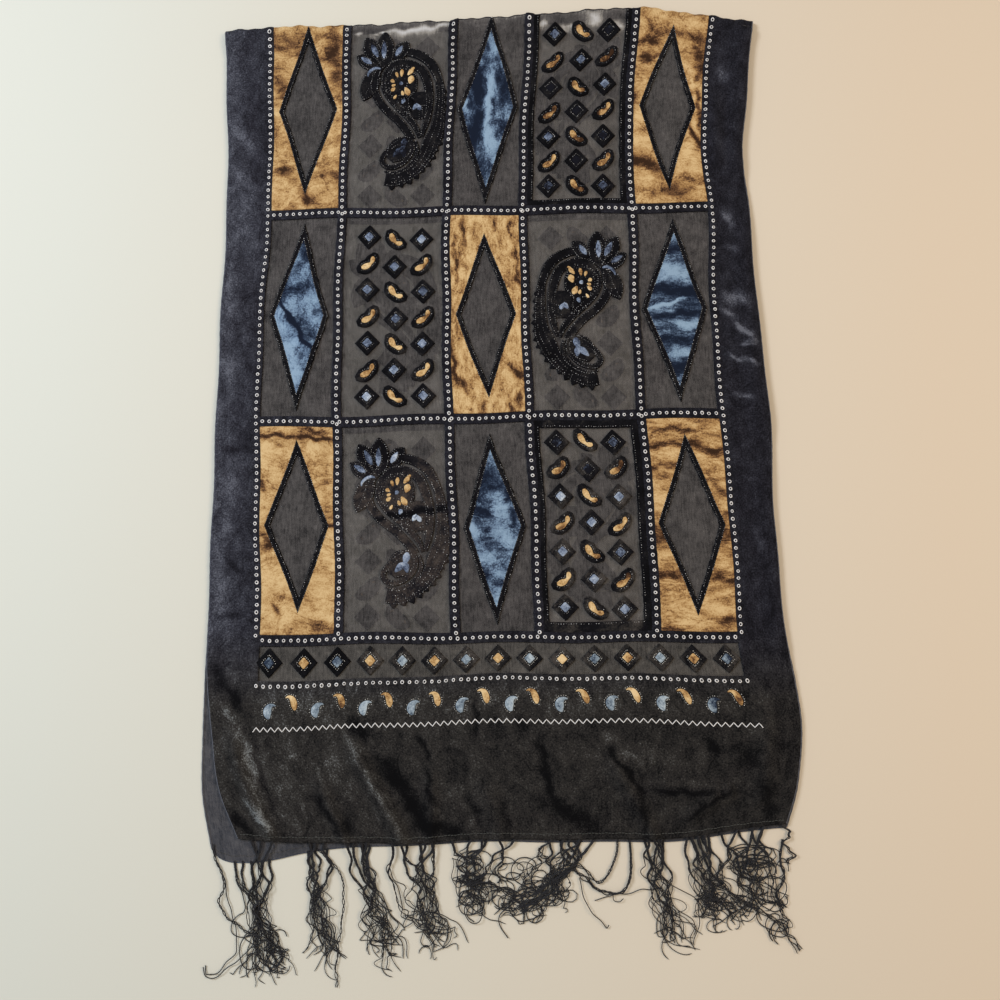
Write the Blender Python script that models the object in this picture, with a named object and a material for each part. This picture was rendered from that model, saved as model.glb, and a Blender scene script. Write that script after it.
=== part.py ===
"""A burnt-out velvet scarf, folded in half and laid flat, with its knotted fringe at the near end.

The cloth is cut 508 x 1524 mm. It is folded across its middle, so it lies 762 mm long in two layers.
Every place on the upper layer is told by two numbers in millimetres: u, from the left edge, and v, from
the fold towards the hem. SECTIONS says where each line across the cloth lies on the table, and FOLDS
says where the cloth rises into a ridge. x runs right, y towards the fold and z up, with the table at 0.
"""
import math
from collections import namedtuple

import bmesh
import bpy
from mathutils import Vector
from mathutils.geometry import delaunay_2d_cdt

for old in list(bpy.data.objects):
    bpy.data.objects.remove(old, do_unlink=True)

MM = 0.001
WIDTH = 508.0
LENGTH = 762.0
BORDER = 41.0          # from the edge to the first line of the pattern
SEAM = 0.3             # open slit between two neighbouring areas
UNDER_TOP = 1.5        # top of the layer that lies on the table
FRONT_LOW = 1.8        # lowest place of the upper layer's underside
PILE = 2.0             # thickness of ground and pile together
SHEER = 1.0            # thickness where the pile is burnt out
FOLD_V = 8.0           # where the upper layer starts and the roll of the fold ends
FOLD_HIGH = 2.7        # how far the roll lifts the upper layer
HEM_V = 751.0          # where the turned hem starts

# Lines across the cloth, as they lie on the table: the four x places are the left edge, the first and
# last pattern lines and the right edge; bow moves the middle sideways; y is told at five places of u.
Section = namedtuple("Section", "name v edge_left first_line last_line edge_right bow"
                                " y_left y_second y_middle y_fourth y_right")
SECTIONS = (
    Section("fold",     0, -262.0, -219.5, 208.0, 246.5,  1.5,  364.5,  374.0,  381.5,  391.0,  376.0),
    Section("upper",   77, -257.0, -216.0, 199.8, 238.2,  0.5,  291.7,  298.3,  304.0,  310.8,  302.2),
    Section("pinch",  135, -254.0, -214.8, 196.4, 232.0, -1.0,  236.9,  241.2,  245.6,  250.4,  246.7),
    Section("line 1", 198, -252.5, -214.1, 201.5, 235.4, -5.0,  177.3,  179.3,  182.2,  184.8,  186.3),
    Section("row 2",  300, -253.7, -217.7, 200.8, 239.8, -1.5,   75.0,   76.3,   79.6,   82.6,   83.8),
    Section("line 2", 396, -253.5, -217.2, 204.9, 246.7, -0.7,  -21.2,  -20.7,  -17.0,  -13.7,  -12.8),
    Section("row 3",  495, -253.1, -213.9, 211.1, 246.8, -0.5, -120.0, -118.0, -115.6, -113.6, -113.2),
    Section("line 3", 594, -252.5, -210.0, 215.3, 252.8, -2.0, -218.6, -215.5, -214.2, -213.5, -213.7),
    Section("line 4", 630, -250.3, -210.7, 219.7, 258.3, -3.2, -256.9, -254.9, -249.5, -250.0, -252.6),
    Section("zigzag", 666, -245.9, -210.3, 227.0, 262.9, -7.0, -296.0, -290.9, -286.0, -286.3, -291.7),
    Section("band",   714, -237.0, -199.0, 222.0, 257.5, -3.0, -341.0, -339.5, -335.0, -334.5, -333.5),
    Section("hem",    762, -219.4, -182.0, 208.5, 245.7,  0.0, -384.0, -387.2, -383.5, -383.1, -370.9),
)
Y_PLACES = (0.0, 114.5, 254.0, 393.5, 508.0)

# Ridges of the upper layer, each from one (u, v) to another.
Fold = namedtuple("Fold", "name u0 v0 u1 v1 height half_width")
FOLDS = (
    Fold("left edge roll",      18, 652,  34, 765, 6.0,  7.0),
    Fold("left ridge",         122, 668, 156, 770, 6.5,  8.0),
    Fold("left small ridge",    90, 700, 101, 770, 4.0,  6.0),
    Fold("middle gather",      191, 694, 178, 770, 3.5,  6.0),
    Fold("middle ridge",       232, 706, 246, 770, 3.0,  9.0),
    Fold("right ridge",        338, 690, 389, 768, 4.5,  7.0),
    Fold("right cross ridge",  372, 718, 440, 727, 3.0,  8.0),
    Fold("right corner ridge", 404, 750, 452, 722, 3.5,  8.0),
    Fold("right edge ridge",   470, 640, 478, 745, 3.0, 10.0),
    Fold("border crease a",    474, 312, 503, 331, 2.2,  6.0),
    Fold("border crease b",    470, 339, 503, 346, 2.0,  6.0),
    Fold("pinch",              474,  70, 480, 165, 3.5,  9.0),
    Fold("gold cross ridge",    40, 411, 118, 412, 2.2,  6.0),
    Fold("blue tuck",           52, 280,  98, 340, 2.4,  6.0),
)

# The under half shows at the lower left: its left edge stands further out and its hem lies lower.
UNDER_OUT = ((0, 0.0), (594, -0.5), (630, -3.0), (666, -8.0), (714, -14.0), (762, -22.5))
UNDER_DROP = ((0, -9.0), (6, -15.5), (30, -17.8), (75, -8.5), (115, -4.0), (254, -2.5), (508, -3.0))

# The open fields between the lattice bars.
COLUMNS = ((43.5, 110.5), (118.5, 213.25), (221.25, 286.75), (294.75, 389.5), (397.5, 464.5))
ROWS = ((13.0, 193.0), (203.0, 391.0), (401.0, 589.0))
COLUMN_PARTS = (3, 4, 3, 4, 3)
ROW_PARTS = 10
STRIPS = ((600.5, 625.5), (634.5, 661.0))

# A "gold" field has a diamond opening; a "blue" field has a blue diamond on sheer cloth.
Field = namedtuple("Field", "name column row kind middle_v half_height half_width flip")
FIELDS = (
    Field("r1_c1", 0, 0, "gold",     92.5, 88.0, 28.7, 0),
    Field("r1_c2", 1, 0, "paisley", 103.0,  0.0,  0.0, 1),
    Field("r1_c3", 2, 0, "blue",     97.0, 94.0, 30.0, 0),
    Field("r1_c4", 3, 0, "beans",   103.0,  0.0,  0.0, 0),
    Field("r1_c5", 4, 0, "gold",     97.0, 85.5, 28.0, 0),
    Field("r2_c1", 0, 1, "blue",    296.9, 89.0, 27.8, 0),
    Field("r2_c2", 1, 1, "beans",   297.0,  0.0,  0.0, 0),
    Field("r2_c3", 2, 1, "gold",    298.7, 80.1, 29.2, 0),
    Field("r2_c4", 3, 1, "paisley", 297.0,  0.0,  0.0, 0),
    Field("r2_c5", 4, 1, "blue",    297.0, 88.5, 30.0, 0),
    Field("r3_c1", 0, 2, "gold",    492.0, 80.3, 29.4, 0),
    Field("r3_c2", 1, 2, "paisley", 495.0,  0.0,  0.0, 1),
    Field("r3_c3", 2, 2, "blue",    496.7, 86.2, 28.0, 0),
    Field("r3_c4", 3, 2, "beans",   495.0,  0.0,  0.0, 0),
    Field("r3_c5", 4, 2, "gold",    495.5, 82.0, 30.4, 0),
)

# The paisley's middle line from crown to tail, as (across, along, half width) from the field's middle.
PAISLEY_SPINE = ((24, -70, 5), (18, -60, 14), (7, -44, 25), (-5, -25, 33), (-11, -4, 31),
                 (-12, 15, 23), (-8, 33, 18), (0, 50, 14), (9, 61, 8), (16, 67, 3))

# Fringe locks in bundles: where the roots start and end (u), how many locks, the waist that they are
# drawn to and the place of their tips (x, y on the table), and the room between tips.
Bundle = namedtuple("Bundle", "name u_first u_last locks waist_x waist_y tip_x tip_y spread")
FRONT_BUNDLES = (
    Bundle("left over edge",  4,  36, 4, -196, -440, -196, -486, 3.4),
    Bundle("second",         60,  84, 3, -146, -446, -140, -496, 3.0),
    Bundle("twin cords",     99, 121, 4, -101, -440,  -88, -490, 3.2),
    Bundle("third",         137, 156, 4,  -78, -446,  -64, -482, 3.0),
    Bundle("fourth",        172, 186, 3,  -50, -442,  -37, -482, 3.0),
    Bundle("middle tangle", 196, 262, 8,  -10, -432,  -10, -456, 4.4),
    Bundle("rope",          280, 322, 6,   40, -432,   36, -460, 4.2),
    Bundle("loop",          350, 362, 2,   84, -424,   78, -440, 3.0),
    Bundle("fifth",         376, 394, 4,  142, -446,  148, -481, 4.2),
    Bundle("sixth",         412, 430, 4,  184, -436,  192, -462, 3.6),
    Bundle("right tangle",  442, 492, 6,  224, -430,  232, -470, 4.0),
    Bundle("corner cord",   504, 505, 1,  244, -392,  246, -408, 3.0),
)
UNDER_BUNDLES = (
    Bundle("far left cord",   8,  10, 1, -229, -440, -230, -484, 3.0),
    Bundle("left bundle",    20,  52, 6, -201, -442, -194, -497, 4.0),
    Bundle("second",         72,  96, 4, -147, -444, -141, -500, 3.4),
    Bundle("twin cords",    118, 134, 3, -102, -438,  -92, -480, 3.4),
    Bundle("third",         150, 190, 5,  -66, -436,  -56, -470, 4.2),
    Bundle("middle",        210, 268, 6,  -10, -426,   -8, -448, 4.6),
    Bundle("rope",          290, 330, 5,   46, -424,   42, -448, 4.4),
    Bundle("fifth",         372, 398, 3,  140, -438,  144, -468, 4.2),
    Bundle("sixth",         416, 436, 3,  184, -428,  188, -452, 3.8),
    Bundle("right",         450, 490, 5,  222, -420,  230, -460, 4.2),
)

COLOURS = {
    "black_velvet": (0.018, 0.018, 0.024),
    "gold_velvet": (0.56, 0.34, 0.11),
    "blue_velvet": (0.09, 0.18, 0.32),
    "sheer_chiffon": (0.075, 0.070, 0.066),
    "paisley_velvet": (0.16, 0.11, 0.06),
    "velvet_back": (0.030, 0.030, 0.036),
    "fringe_yarn": (0.022, 0.022, 0.030),
}


# ---- where a place of the cloth lies -------------------------------------------------------------
def smooth_table(places, values, at):
    """Read a table of values between its places with a curve that runs through every value."""
    last = len(places) - 2
    i = 0
    while i < last and at > places[i + 1]:
        i += 1
    slopes = [(values[k + 1] - values[k]) / (places[k + 1] - places[k]) for k in range(last + 1)]

    def tangent(k):
        if k == 0:
            return slopes[0]
        if k > last:
            return slopes[last]
        return (slopes[k - 1] + slopes[k]) / 2
    step = places[i + 1] - places[i]
    t = min(max((at - places[i]) / step, 0.0), 1.0)
    return ((2 * t**3 - 3 * t**2 + 1) * values[i] + (t**3 - 2 * t**2 + t) * step * tangent(i)
            + (-2 * t**3 + 3 * t**2) * values[i + 1] + (t**3 - t**2) * step * tangent(i + 1))


SECTION_V = [s.v for s in SECTIONS]
SECTION_READ = {}


def section_at(v):
    """All measures of the line across the cloth at v."""
    key = round(v, 3)
    if key not in SECTION_READ:
        columns = list(zip(*[s[2:] for s in SECTIONS]))
        SECTION_READ[key] = [smooth_table(SECTION_V, c, v) for c in columns]
    return SECTION_READ[key]


def cloth_xy(u, v):
    """Where the upper layer's place (u, v) lies on the table."""
    left, first, last, right, bow, *ys = section_at(v)
    inner = WIDTH - 2 * BORDER
    if u < BORDER:
        x = left + (first - left) * u / BORDER
    elif u > WIDTH - BORDER:
        x = last + (right - last) * (u - WIDTH + BORDER) / BORDER
    else:
        s = (u - BORDER) / inner
        x = first + (last - first) * s + bow * 4 * s * (1 - s)
    y = smooth_table(Y_PLACES, ys, u)
    x += 0.6 * math.sin(v / 17 + u / 60)
    y += 0.7 * math.sin(u / 19 + v / 90)
    return x, y


def under_xy(u, v):
    """Where the under layer's place (u, v) lies: like the upper one, but out at the lower left."""
    x, y = cloth_xy(u, v)
    out = smooth_table([p[0] for p in UNDER_OUT], [p[1] for p in UNDER_OUT], v)
    side = max(0.0, 1 - u / 254) ** 2
    drop = smooth_table([p[0] for p in UNDER_DROP], [p[1] for p in UNDER_DROP], u)
    low = min(max((v - 600) / (LENGTH - 600), 0.0), 1.0) ** 2
    return x + out * side + 1.2 * u / WIDTH, y + drop * low


def ridge(fold, u, v):
    """Height of one fold at (u, v): a rounded ridge that fades out at both ends."""
    du, dv = fold.u1 - fold.u0, fold.v1 - fold.v0
    run = math.hypot(du, dv)
    along = ((u - fold.u0) * du + (v - fold.v0) * dv) / run
    off = ((u - fold.u0) * dv - (v - fold.v0) * du) / run
    fade = min(max(along / (0.3 * run), 0.0), 1.0) * min(max((run - along) / (0.12 * run), 0.0), 1.0)
    return fold.height * math.exp(-(off / fold.half_width) ** 2) * fade * fade * (3 - 2 * fade)


def lift(u, v):
    """How far the upper layer rises off the under one at (u, v)."""
    t = min(max((v - FOLD_V) / 24.0, 0.0), 1.0)
    bulge = FOLD_HIGH * (1 - t * t * (3 - 2 * t))
    rolling = 0.3 * (1 + math.sin(u / 37 + 1.3) * math.sin(v / 53))
    return bulge + rolling * t + sum(ridge(f, u, v) for f in FOLDS)


def front_low(u, v):
    """Underside of the upper layer."""
    return FRONT_LOW + lift(u, v)


# ---- building a closed body ----------------------------------------------------------------------
def material(name):
    """One plain shader for each kind of cloth."""
    if name not in bpy.data.materials:
        mat = bpy.data.materials.new(name)
        mat.use_nodes = True
        shader = mat.node_tree.nodes["Principled BSDF"]
        shader.inputs["Base Color"].default_value = (*COLOURS[name], 1.0)
        shader.inputs["Roughness"].default_value = 0.9
    return bpy.data.materials[name]


def solid(name, points, faces, mat):
    """Make an object from points in millimetres, with every face turned outwards."""
    mesh = bpy.data.meshes.new(name)
    mesh.from_pydata([Vector(p) * MM for p in points], [], faces)
    shape = bmesh.new()
    shape.from_mesh(mesh)
    bmesh.ops.recalc_face_normals(shape, faces=shape.faces[:])
    bmesh.ops.triangulate(shape, faces=shape.faces[:])
    shape.to_mesh(mesh)
    shape.free()
    mesh.materials.append(material(mat))
    obj = bpy.data.objects.new(name, mesh)
    bpy.context.scene.collection.objects.link(obj)
    print(name, "triangles", len(mesh.polygons))
    return obj


def inside(loop, p):
    """Whether a place is inside a closed loop of places."""
    odd = False
    for (x0, y0), (x1, y1) in zip(loop, loop[1:] + loop[:1]):
        if (y0 > p[1]) != (y1 > p[1]) and p[0] < x0 + (x1 - x0) * (p[1] - y0) / (y1 - y0):
            odd = not odd
    return odd


def far_from(loop, p, room):
    """Whether a place keeps its distance from the line of a loop."""
    for (x0, y0), (x1, y1) in zip(loop, loop[1:] + loop[:1]):
        dx, dy = x1 - x0, y1 - y0
        t = min(max(((p[0] - x0) * dx + (p[1] - y0) * dy) / (dx * dx + dy * dy), 0.0), 1.0)
        if math.hypot(p[0] - x0 - t * dx, p[1] - y0 - t * dy) < room:
            return False
    return True


def triangles(outer, holes, marks, extra):
    """Cut the area between the loops into triangles that keep every loop's edges."""
    places, edges = [], []
    for loop in (outer, *holes, *marks):
        start = len(places)
        places += loop
        edges += [(start + k, start + (k + 1) % len(loop)) for k in range(len(loop))]
    loops = (outer, *holes, *marks)
    for p in extra:
        if inside(outer, p) and not any(inside(h, p) for h in holes):
            if all(far_from(loop, p, 3.0) for loop in loops):
                places.append(p)
    result = delaunay_2d_cdt([Vector(p) for p in places], edges, [], 0, 1e-6)
    if len(result[0]) != len(places):
        raise ValueError("two loops cross or touch")
    kept = []
    for tri in result[2]:
        middle = (sum(places[k][0] for k in tri) / 3, sum(places[k][1] for k in tri) / 3)
        if inside(outer, middle) and not any(inside(h, middle) for h in holes):
            kept.append((tuple(tri), any(inside(m, middle) for m in marks)))
    return places, kept


def plate(name, mat, outer, holes=(), raised=(), thick=PILE, relief=0.9, extra=(), low=front_low,
          where=cloth_xy):
    """A sheet of cloth between closed loops of (u, v), with some loops raised as thicker pile."""
    points, faces = [], []

    def add(p, height):
        points.append((*where(*p), low(*p) + height))
        return len(points) - 1
    places, top = triangles(outer, holes, raised, extra)
    edge_count = len(outer) + sum(len(h) for h in holes)
    mark_count = sum(len(m) for m in raised)
    high = [add(p, thick) for p in places]
    tops = {k: add(places[k], thick + relief) for k in range(edge_count, edge_count + mark_count)}
    for tri, is_raised in top:
        faces.append(tuple(tops[k] if is_raised else high[k] for k in tri))
    start = edge_count
    for loop in raised:
        for k in range(len(loop)):
            a, b = start + k, start + (k + 1) % len(loop)
            faces.append((high[a], high[b], tops[b], tops[a]))
        start += len(loop)
    places, bottom = triangles(outer, holes, (), extra)
    base = [add(p, 0.0) for p in places]
    faces += [tuple(base[k] for k in tri) for tri, _ in bottom]
    start = 0
    for loop in (outer, *holes):
        for k in range(len(loop)):
            a, b = start + k, start + (k + 1) % len(loop)
            faces.append((base[a], base[b], high[b], high[a]))
        start += len(loop)
    return solid(name, points, faces, mat)


# ---- outlines on the flat cloth ------------------------------------------------------------------
def steps(a, b, parts):
    """Equal steps from a to b, both ends in."""
    return [a + (b - a) * k / parts for k in range(parts + 1)]


def box_loop(us, vs, inset=0.0):
    """The edge of a field, with a point at every given u and v, drawn in by the inset."""
    u0, u1, v0, v1 = us[0] + inset, us[-1] - inset, vs[0] + inset, vs[-1] - inset
    inner_u, inner_v = us[1:-1], vs[1:-1]
    return ([(u0, v0)] + [(u, v0) for u in inner_u] + [(u1, v0)] + [(u1, v) for v in inner_v]
            + [(u1, v1)] + [(u, v1) for u in reversed(inner_u)] + [(u0, v1)]
            + [(u0, v) for v in reversed(inner_v)])


def diamond_loop(u, v, half_width, half_height, inset=0.0):
    """A diamond with three points on each slightly rounded side, drawn in by the inset."""
    side = math.hypot(half_width, half_height)
    k = 1 - inset * side / (half_width * half_height)
    a, b = half_width * k, half_height * k
    corners = ((0, -b), (a, 0), (0, b), (-a, 0))
    loop = []
    for (x0, y0), (x1, y1) in zip(corners, corners[1:] + corners[:1]):
        for t in (0.0, 0.25, 0.5, 0.75):
            out = 1 + 0.012 * 4 * t * (1 - t)
            loop.append((u + (x0 + (x1 - x0) * t) * out, v + (y0 + (y1 - y0) * t) * out))
    return loop


def small_diamond(u, v, half_width, half_height):
    """A diamond with its four corners only."""
    return [(u, v - half_height), (u + half_width, v), (u, v + half_height), (u - half_width, v)]


def bent_drop(u, v, length, width, bend, turn, sharp):
    """A bean or a drop: an oval bent along its length, narrower at one end if sharp."""
    loop = []
    for k in range(8):
        a = 2 * math.pi * k / 8
        x, y = math.cos(a) * length / 2, math.sin(a) * width / 2
        y = y * (1 - sharp * math.cos(a)) + bend * (math.cos(a) ** 2 - 0.5)
        loop.append((u + x * math.cos(turn) - y * math.sin(turn),
                     v + x * math.sin(turn) + y * math.cos(turn)))
    return loop


def spine_loop(u, v, spine, flip, inset=0.0):
    """A closed outline on both sides of a middle line with a half width at each point."""
    one, other = [], []
    for k, (x, y, half) in enumerate(spine):
        x0, y0 = spine[max(k - 1, 0)][:2]
        x1, y1 = spine[min(k + 1, len(spine) - 1)][:2]
        run = math.hypot(x1 - x0, y1 - y0)
        nx, ny = -(y1 - y0) / run, (x1 - x0) / run
        half = half - 1.3 * inset
        end = (k == 0) - (k == len(spine) - 1)
        x, y = x + ny * end * inset * 1.3, y - nx * end * inset * 1.3
        one.append((x + nx * half, y + ny * half))
        other.append((x - nx * half, y - ny * half))
    loop = one + other[::-1]
    return [(u - x, v + y) if flip else (u + x, v + y) for x, y in loop]


# ---- the upper layer -----------------------------------------------------------------------------
column_us = [steps(a, b, n) for (a, b), n in zip(COLUMNS, COLUMN_PARTS)]
row_vs = [steps(a, b, ROW_PARTS) for a, b in ROWS]
strip_us = sorted(u for us in column_us for u in us)
band_us = steps(0.0, WIDTH, 44)
all_us = sorted({0.0, 22.0, 486.0, WIDTH} | set(strip_us))
all_vs = sorted({FOLD_V, HEM_V - SEAM, *steps(661.0, HEM_V - SEAM, 8)}
                | {v for vs in row_vs for v in vs} | {v for strip in STRIPS for v in strip})
fold_points = []
for f in FOLDS:
    run_u, run_v = f.u1 - f.u0, f.v1 - f.v0
    run = math.hypot(run_u, run_v)
    for t in steps(0.08, 0.97, 6):
        for side in (-1.0, 0.0, 1.0):
            fold_points.append((f.u0 + run_u * t + side * f.half_width * run_v / run,
                                f.v0 + run_v * t - side * f.half_width * run_u / run))
grid_points = [(u, v) for u in (22.0, 486.0) for v in all_vs]
grid_points += [(u, v) for u in steps(12.0, 496.0, 22) for v in steps(671.0, 742.0, 4)]


def band_edge(u):
    """Along the hem line the points stand closer, so that the gathers show."""
    return [(p, u) for p in reversed(band_us)]


lattice_outer = [(u, FOLD_V) for u in all_us]
lattice_outer += [(WIDTH, v) for v in all_vs[1:-1]]
lattice_outer += band_edge(HEM_V - SEAM)
lattice_outer += [(0.0, v) for v in reversed(all_vs[1:-1])]
windows = [box_loop(us, vs) for us in column_us for vs in row_vs]
windows += [box_loop(strip_us, [v0, v1]) for v0, v1 in STRIPS]
clear_points = []
for p in fold_points + grid_points:
    if all(math.hypot(p[0] - q[0], p[1] - q[1]) > 4.5 for q in clear_points):
        clear_points.append(p)
plate("lattice_front", "black_velvet", lattice_outer, holes=windows, extra=clear_points)
hem_loop = [(u, HEM_V) for u in band_us] + band_edge(LENGTH)
plate("hem_front", "black_velvet", hem_loop, thick=PILE + 0.5)

for field in FIELDS:
    us, vs = column_us[field.column], row_vs[field.row]
    edge = box_loop(us, vs, inset=SEAM)
    mid_u, mid_v = (us[0] + us[-1]) / 2, field.middle_v
    inner = [(u, v) for u in us[1:-1] for v in vs[1:-1]] + fold_points
    half_height = min(field.half_height, mid_v - ROWS[0][0] - 2.0)
    if field.kind in ("gold", "blue"):
        cut = diamond_loop(mid_u, mid_v, field.half_width, half_height)
        core = diamond_loop(mid_u, mid_v, field.half_width, half_height, inset=SEAM)
        gold = field.kind == "gold"
        plate(("gold_" if gold else "surround_") + field.name, "gold_velvet" if gold else "sheer_chiffon",
              edge, holes=[cut], thick=PILE if gold else SHEER, extra=inner)
        plate(("window_" if gold else "blue_") + field.name, "sheer_chiffon" if gold else "blue_velvet",
              core, thick=SHEER if gold else PILE, extra=inner)
    elif field.kind == "paisley":
        cut = spine_loop(mid_u, mid_v, PAISLEY_SPINE, field.flip)
        core = spine_loop(mid_u, mid_v, PAISLEY_SPINE, field.flip, inset=SEAM)
        plate("paisley_ground_" + field.name, "sheer_chiffon", edge, holes=[cut], thick=SHEER, extra=inner)
        plate("paisley_" + field.name, "paisley_velvet", core, extra=inner)
    else:
        motifs = []
        for row in range(7):
            for col in range(3):
                u = mid_u + (col - 1) * 26.0
                v = mid_v + (row - 3) * 25.4
                if (row + col) % 2 == 0:
                    motifs.append(small_diamond(u, v, 11.0, 11.0))
                else:
                    turn = math.radians(40 if row % 2 == 0 else -40)
                    motifs.append(bent_drop(u, v, 21.0, 12.0, 2.5, turn, 0.0))
        plate("beans_" + field.name, "sheer_chiffon", edge, raised=motifs, thick=SHEER, relief=1.0)

strip_names = (("strip_diamonds", 15, 0), ("strip_drops", 20, 1))
for (v0, v1), (name, count, drops) in zip(STRIPS, strip_names):
    first, last = strip_us[0] + 3.0, strip_us[-1] - 3.0
    motifs = []
    for k in range(count):
        u = first + (last - first) * (k + 0.5) / count
        v = (v0 + v1) / 2
        if drops:
            turn = math.radians(125 if k % 2 == 0 else -55)
            motifs.append(bent_drop(u, v, 17.0, 9.5, 1.5, turn, 0.35))
        else:
            motifs.append(small_diamond(u, v, 11.5, 10.5))
    plate(name, "sheer_chiffon", box_loop(strip_us, [v0, v1], inset=SEAM), raised=motifs, thick=SHEER,
          relief=1.0)


# ---- the under layer and the fold ----------------------------------------------------------------
def flat_low(u, v):
    """The under layer lies flat on the table."""
    return 0.0


under_us = steps(0.0, WIDTH, 20)
under_hem = sorted(set(steps(0.0, WIDTH, 40)) | {3.0, 7.0})
under_vs = steps(FOLD_V, LENGTH, 24)
under_outer = [(u, FOLD_V) for u in under_us] + [(WIDTH, v) for v in under_vs[1:-1]]
under_outer += [(u, LENGTH) for u in reversed(under_hem)] + [(0.0, v) for v in reversed(under_vs[1:-1])]
under_inner = [(u, v) for u in under_us[1:-1:3] for v in under_vs[1:-1:3]]
plate("under_layer", "velvet_back", under_outer, thick=UNDER_TOP, extra=under_inner, low=flat_low,
      where=under_xy)

roll_points, roll_faces = [], []
ARC = 6
roll_top = FRONT_LOW + FOLD_HIGH
for u in all_us:
    x0, y0 = cloth_xy(u, FOLD_V)
    x1, y1 = cloth_xy(u, 0.0)
    for a in steps(math.pi / 2, -math.pi / 2, ARC):
        for out, middle, half in ((FOLD_V, (roll_top + PILE) / 2, (roll_top + PILE) / 2),
                                  (FOLD_V - PILE, (roll_top + UNDER_TOP) / 2, (roll_top - UNDER_TOP) / 2)):
            t = (SEAM + (out - SEAM) * math.cos(a)) / FOLD_V
            roll_points.append((x0 + (x1 - x0) * t, y0 + (y1 - y0) * t, middle + half * math.sin(a)))
ring = 2 * (ARC + 1)
for i in range(len(all_us) - 1):
    a, b = i * ring, (i + 1) * ring
    for k in range(ARC):
        for side in (0, 1):
            p, q = 2 * k + side, 2 * k + 2 + side
            roll_faces.append((a + p, a + q, b + q, b + p))
    for p in (0, 2 * ARC):
        roll_faces.append((a + p, a + p + 1, b + p + 1, b + p))
for a in (0, (len(all_us) - 1) * ring):
    for k in range(ARC):
        roll_faces.append((a + 2 * k, a + 2 * k + 1, a + 2 * k + 3, a + 2 * k + 2))
solid("fold_roll", roll_points, roll_faces, "black_velvet")


# ---- the fringe ----------------------------------------------------------------------------------
LOCK_WIDTHS = (2.0, 1.7, 1.5, 1.3, 0.9)      # from root to tip
LOCK_TIMES = (0.0, 0.28, 0.55, 0.78, 1.0)


def fringe(name, bundles, hem_xy, low, thick, floor_z, gap_y=0.6):
    """A narrow backing strip along the hem with four-sided locks drawn out of its outer wall."""
    locks = []
    for b in bundles:
        for k in range(b.locks):
            part = (k + 0.5) / b.locks
            off = k - (b.locks - 1) / 2
            tip_y = b.tip_y + (k * 7 % 5 - 2) * 2.5
            locks.append((b.u_first + (b.u_last - b.u_first) * part, b.waist_x + off * 2.6, b.waist_y,
                          b.tip_x + off * b.spread, tip_y))
    half = LOCK_WIDTHS[0] / 2
    stations, roots = [0.4], []
    for u in [lock[0] for lock in locks] + [WIDTH - 0.4 + half]:
        gap = u - half - stations[-1]
        parts = max(1, math.ceil(gap / 7.0))
        stations += steps(stations[-1], u - half, parts)[1:]
        if len(roots) < len(locks):
            roots.append(len(stations) - 1)
            stations.append(u + half)
    points, faces = [], []
    for u in stations:
        x, y = hem_xy(u, LENGTH)
        z = low(u, LENGTH)
        for dy, dz in ((-gap_y, 0.0), (-gap_y, thick), (-gap_y - 2.2, thick), (-gap_y - 2.2, 0.0)):
            points.append((x, y + dy, z + dz))
    for i in range(len(stations) - 1):
        a, b = 4 * i, 4 * i + 4
        faces += [(a, a + 1, b + 1, b), (a + 1, a + 2, b + 2, b + 1), (a + 3, a, b, b + 3)]
        if i not in roots:
            faces.append((a + 2, a + 3, b + 3, b + 2))
    faces += [(0, 1, 2, 3), tuple(len(points) - 4 + k for k in range(4))]
    for i, (u, waist_x, waist_y, tip_x, tip_y) in enumerate(locks):
        left, right = 4 * roots[i], 4 * roots[i] + 4
        root = [left + 3, right + 3, right + 2, left + 2]
        root_x = (points[left][0] + points[right][0]) / 2
        root_y, root_z = points[left + 3][1], points[left + 3][2]
        for t, width in zip(LOCK_TIMES[1:], LOCK_WIDTHS[1:]):
            ease = min(t / 0.6, 1.0)
            after = max((t - 0.6) / 0.4, 0.0)
            x = root_x + (waist_x - root_x) * ease ** 1.3 + (tip_x - waist_x) * after
            y = root_y + (waist_y - root_y) * ease + (tip_y - waist_y) * after
            z = root_z + (floor_z - root_z) * min(t / 0.5, 1.0)
            start = len(points)
            for dx, dz in ((-0.5, 0.0), (0.5, 0.0), (0.5, 1.0), (-0.5, 1.0)):
                points.append((x + dx * width, y, z + dz * min(thick, width)))
            ring_now = [start + k for k in range(4)]
            faces += [(root[k], root[(k + 1) % 4], ring_now[(k + 1) % 4], ring_now[k]) for k in range(4)]
            root = ring_now
        faces.append(tuple(root))
    return solid(name, points, faces, "fringe_yarn")


fringe("fringe_front", FRONT_BUNDLES, cloth_xy, front_low, 1.0, FRONT_LOW)
fringe("fringe_under", UNDER_BUNDLES, under_xy, lambda u, v: 0.3, 1.0, 0.3)
print("triangles in all", sum(len(o.data.polygons) for o in bpy.data.objects if o.type == "MESH"))
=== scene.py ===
# %% [markdown]
# # A burnt-out velvet scarf, folded and laid flat
# A burnt-out velvet starts as one cloth: a thin black chiffon with a thick pile woven into it. A paste
# is printed where the pile should go, and it leaves sheer windows, diamonds, beans and paisleys.
# The maker then crushes and dyes some of the pile gold and blue, stitches small white rings along the
# lines of the pattern, and knots a fringe into both ends. Here the scarf is folded once, wrong sides
# together, so the under half shows as ghosts through the sheer parts of the upper half.

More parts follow.
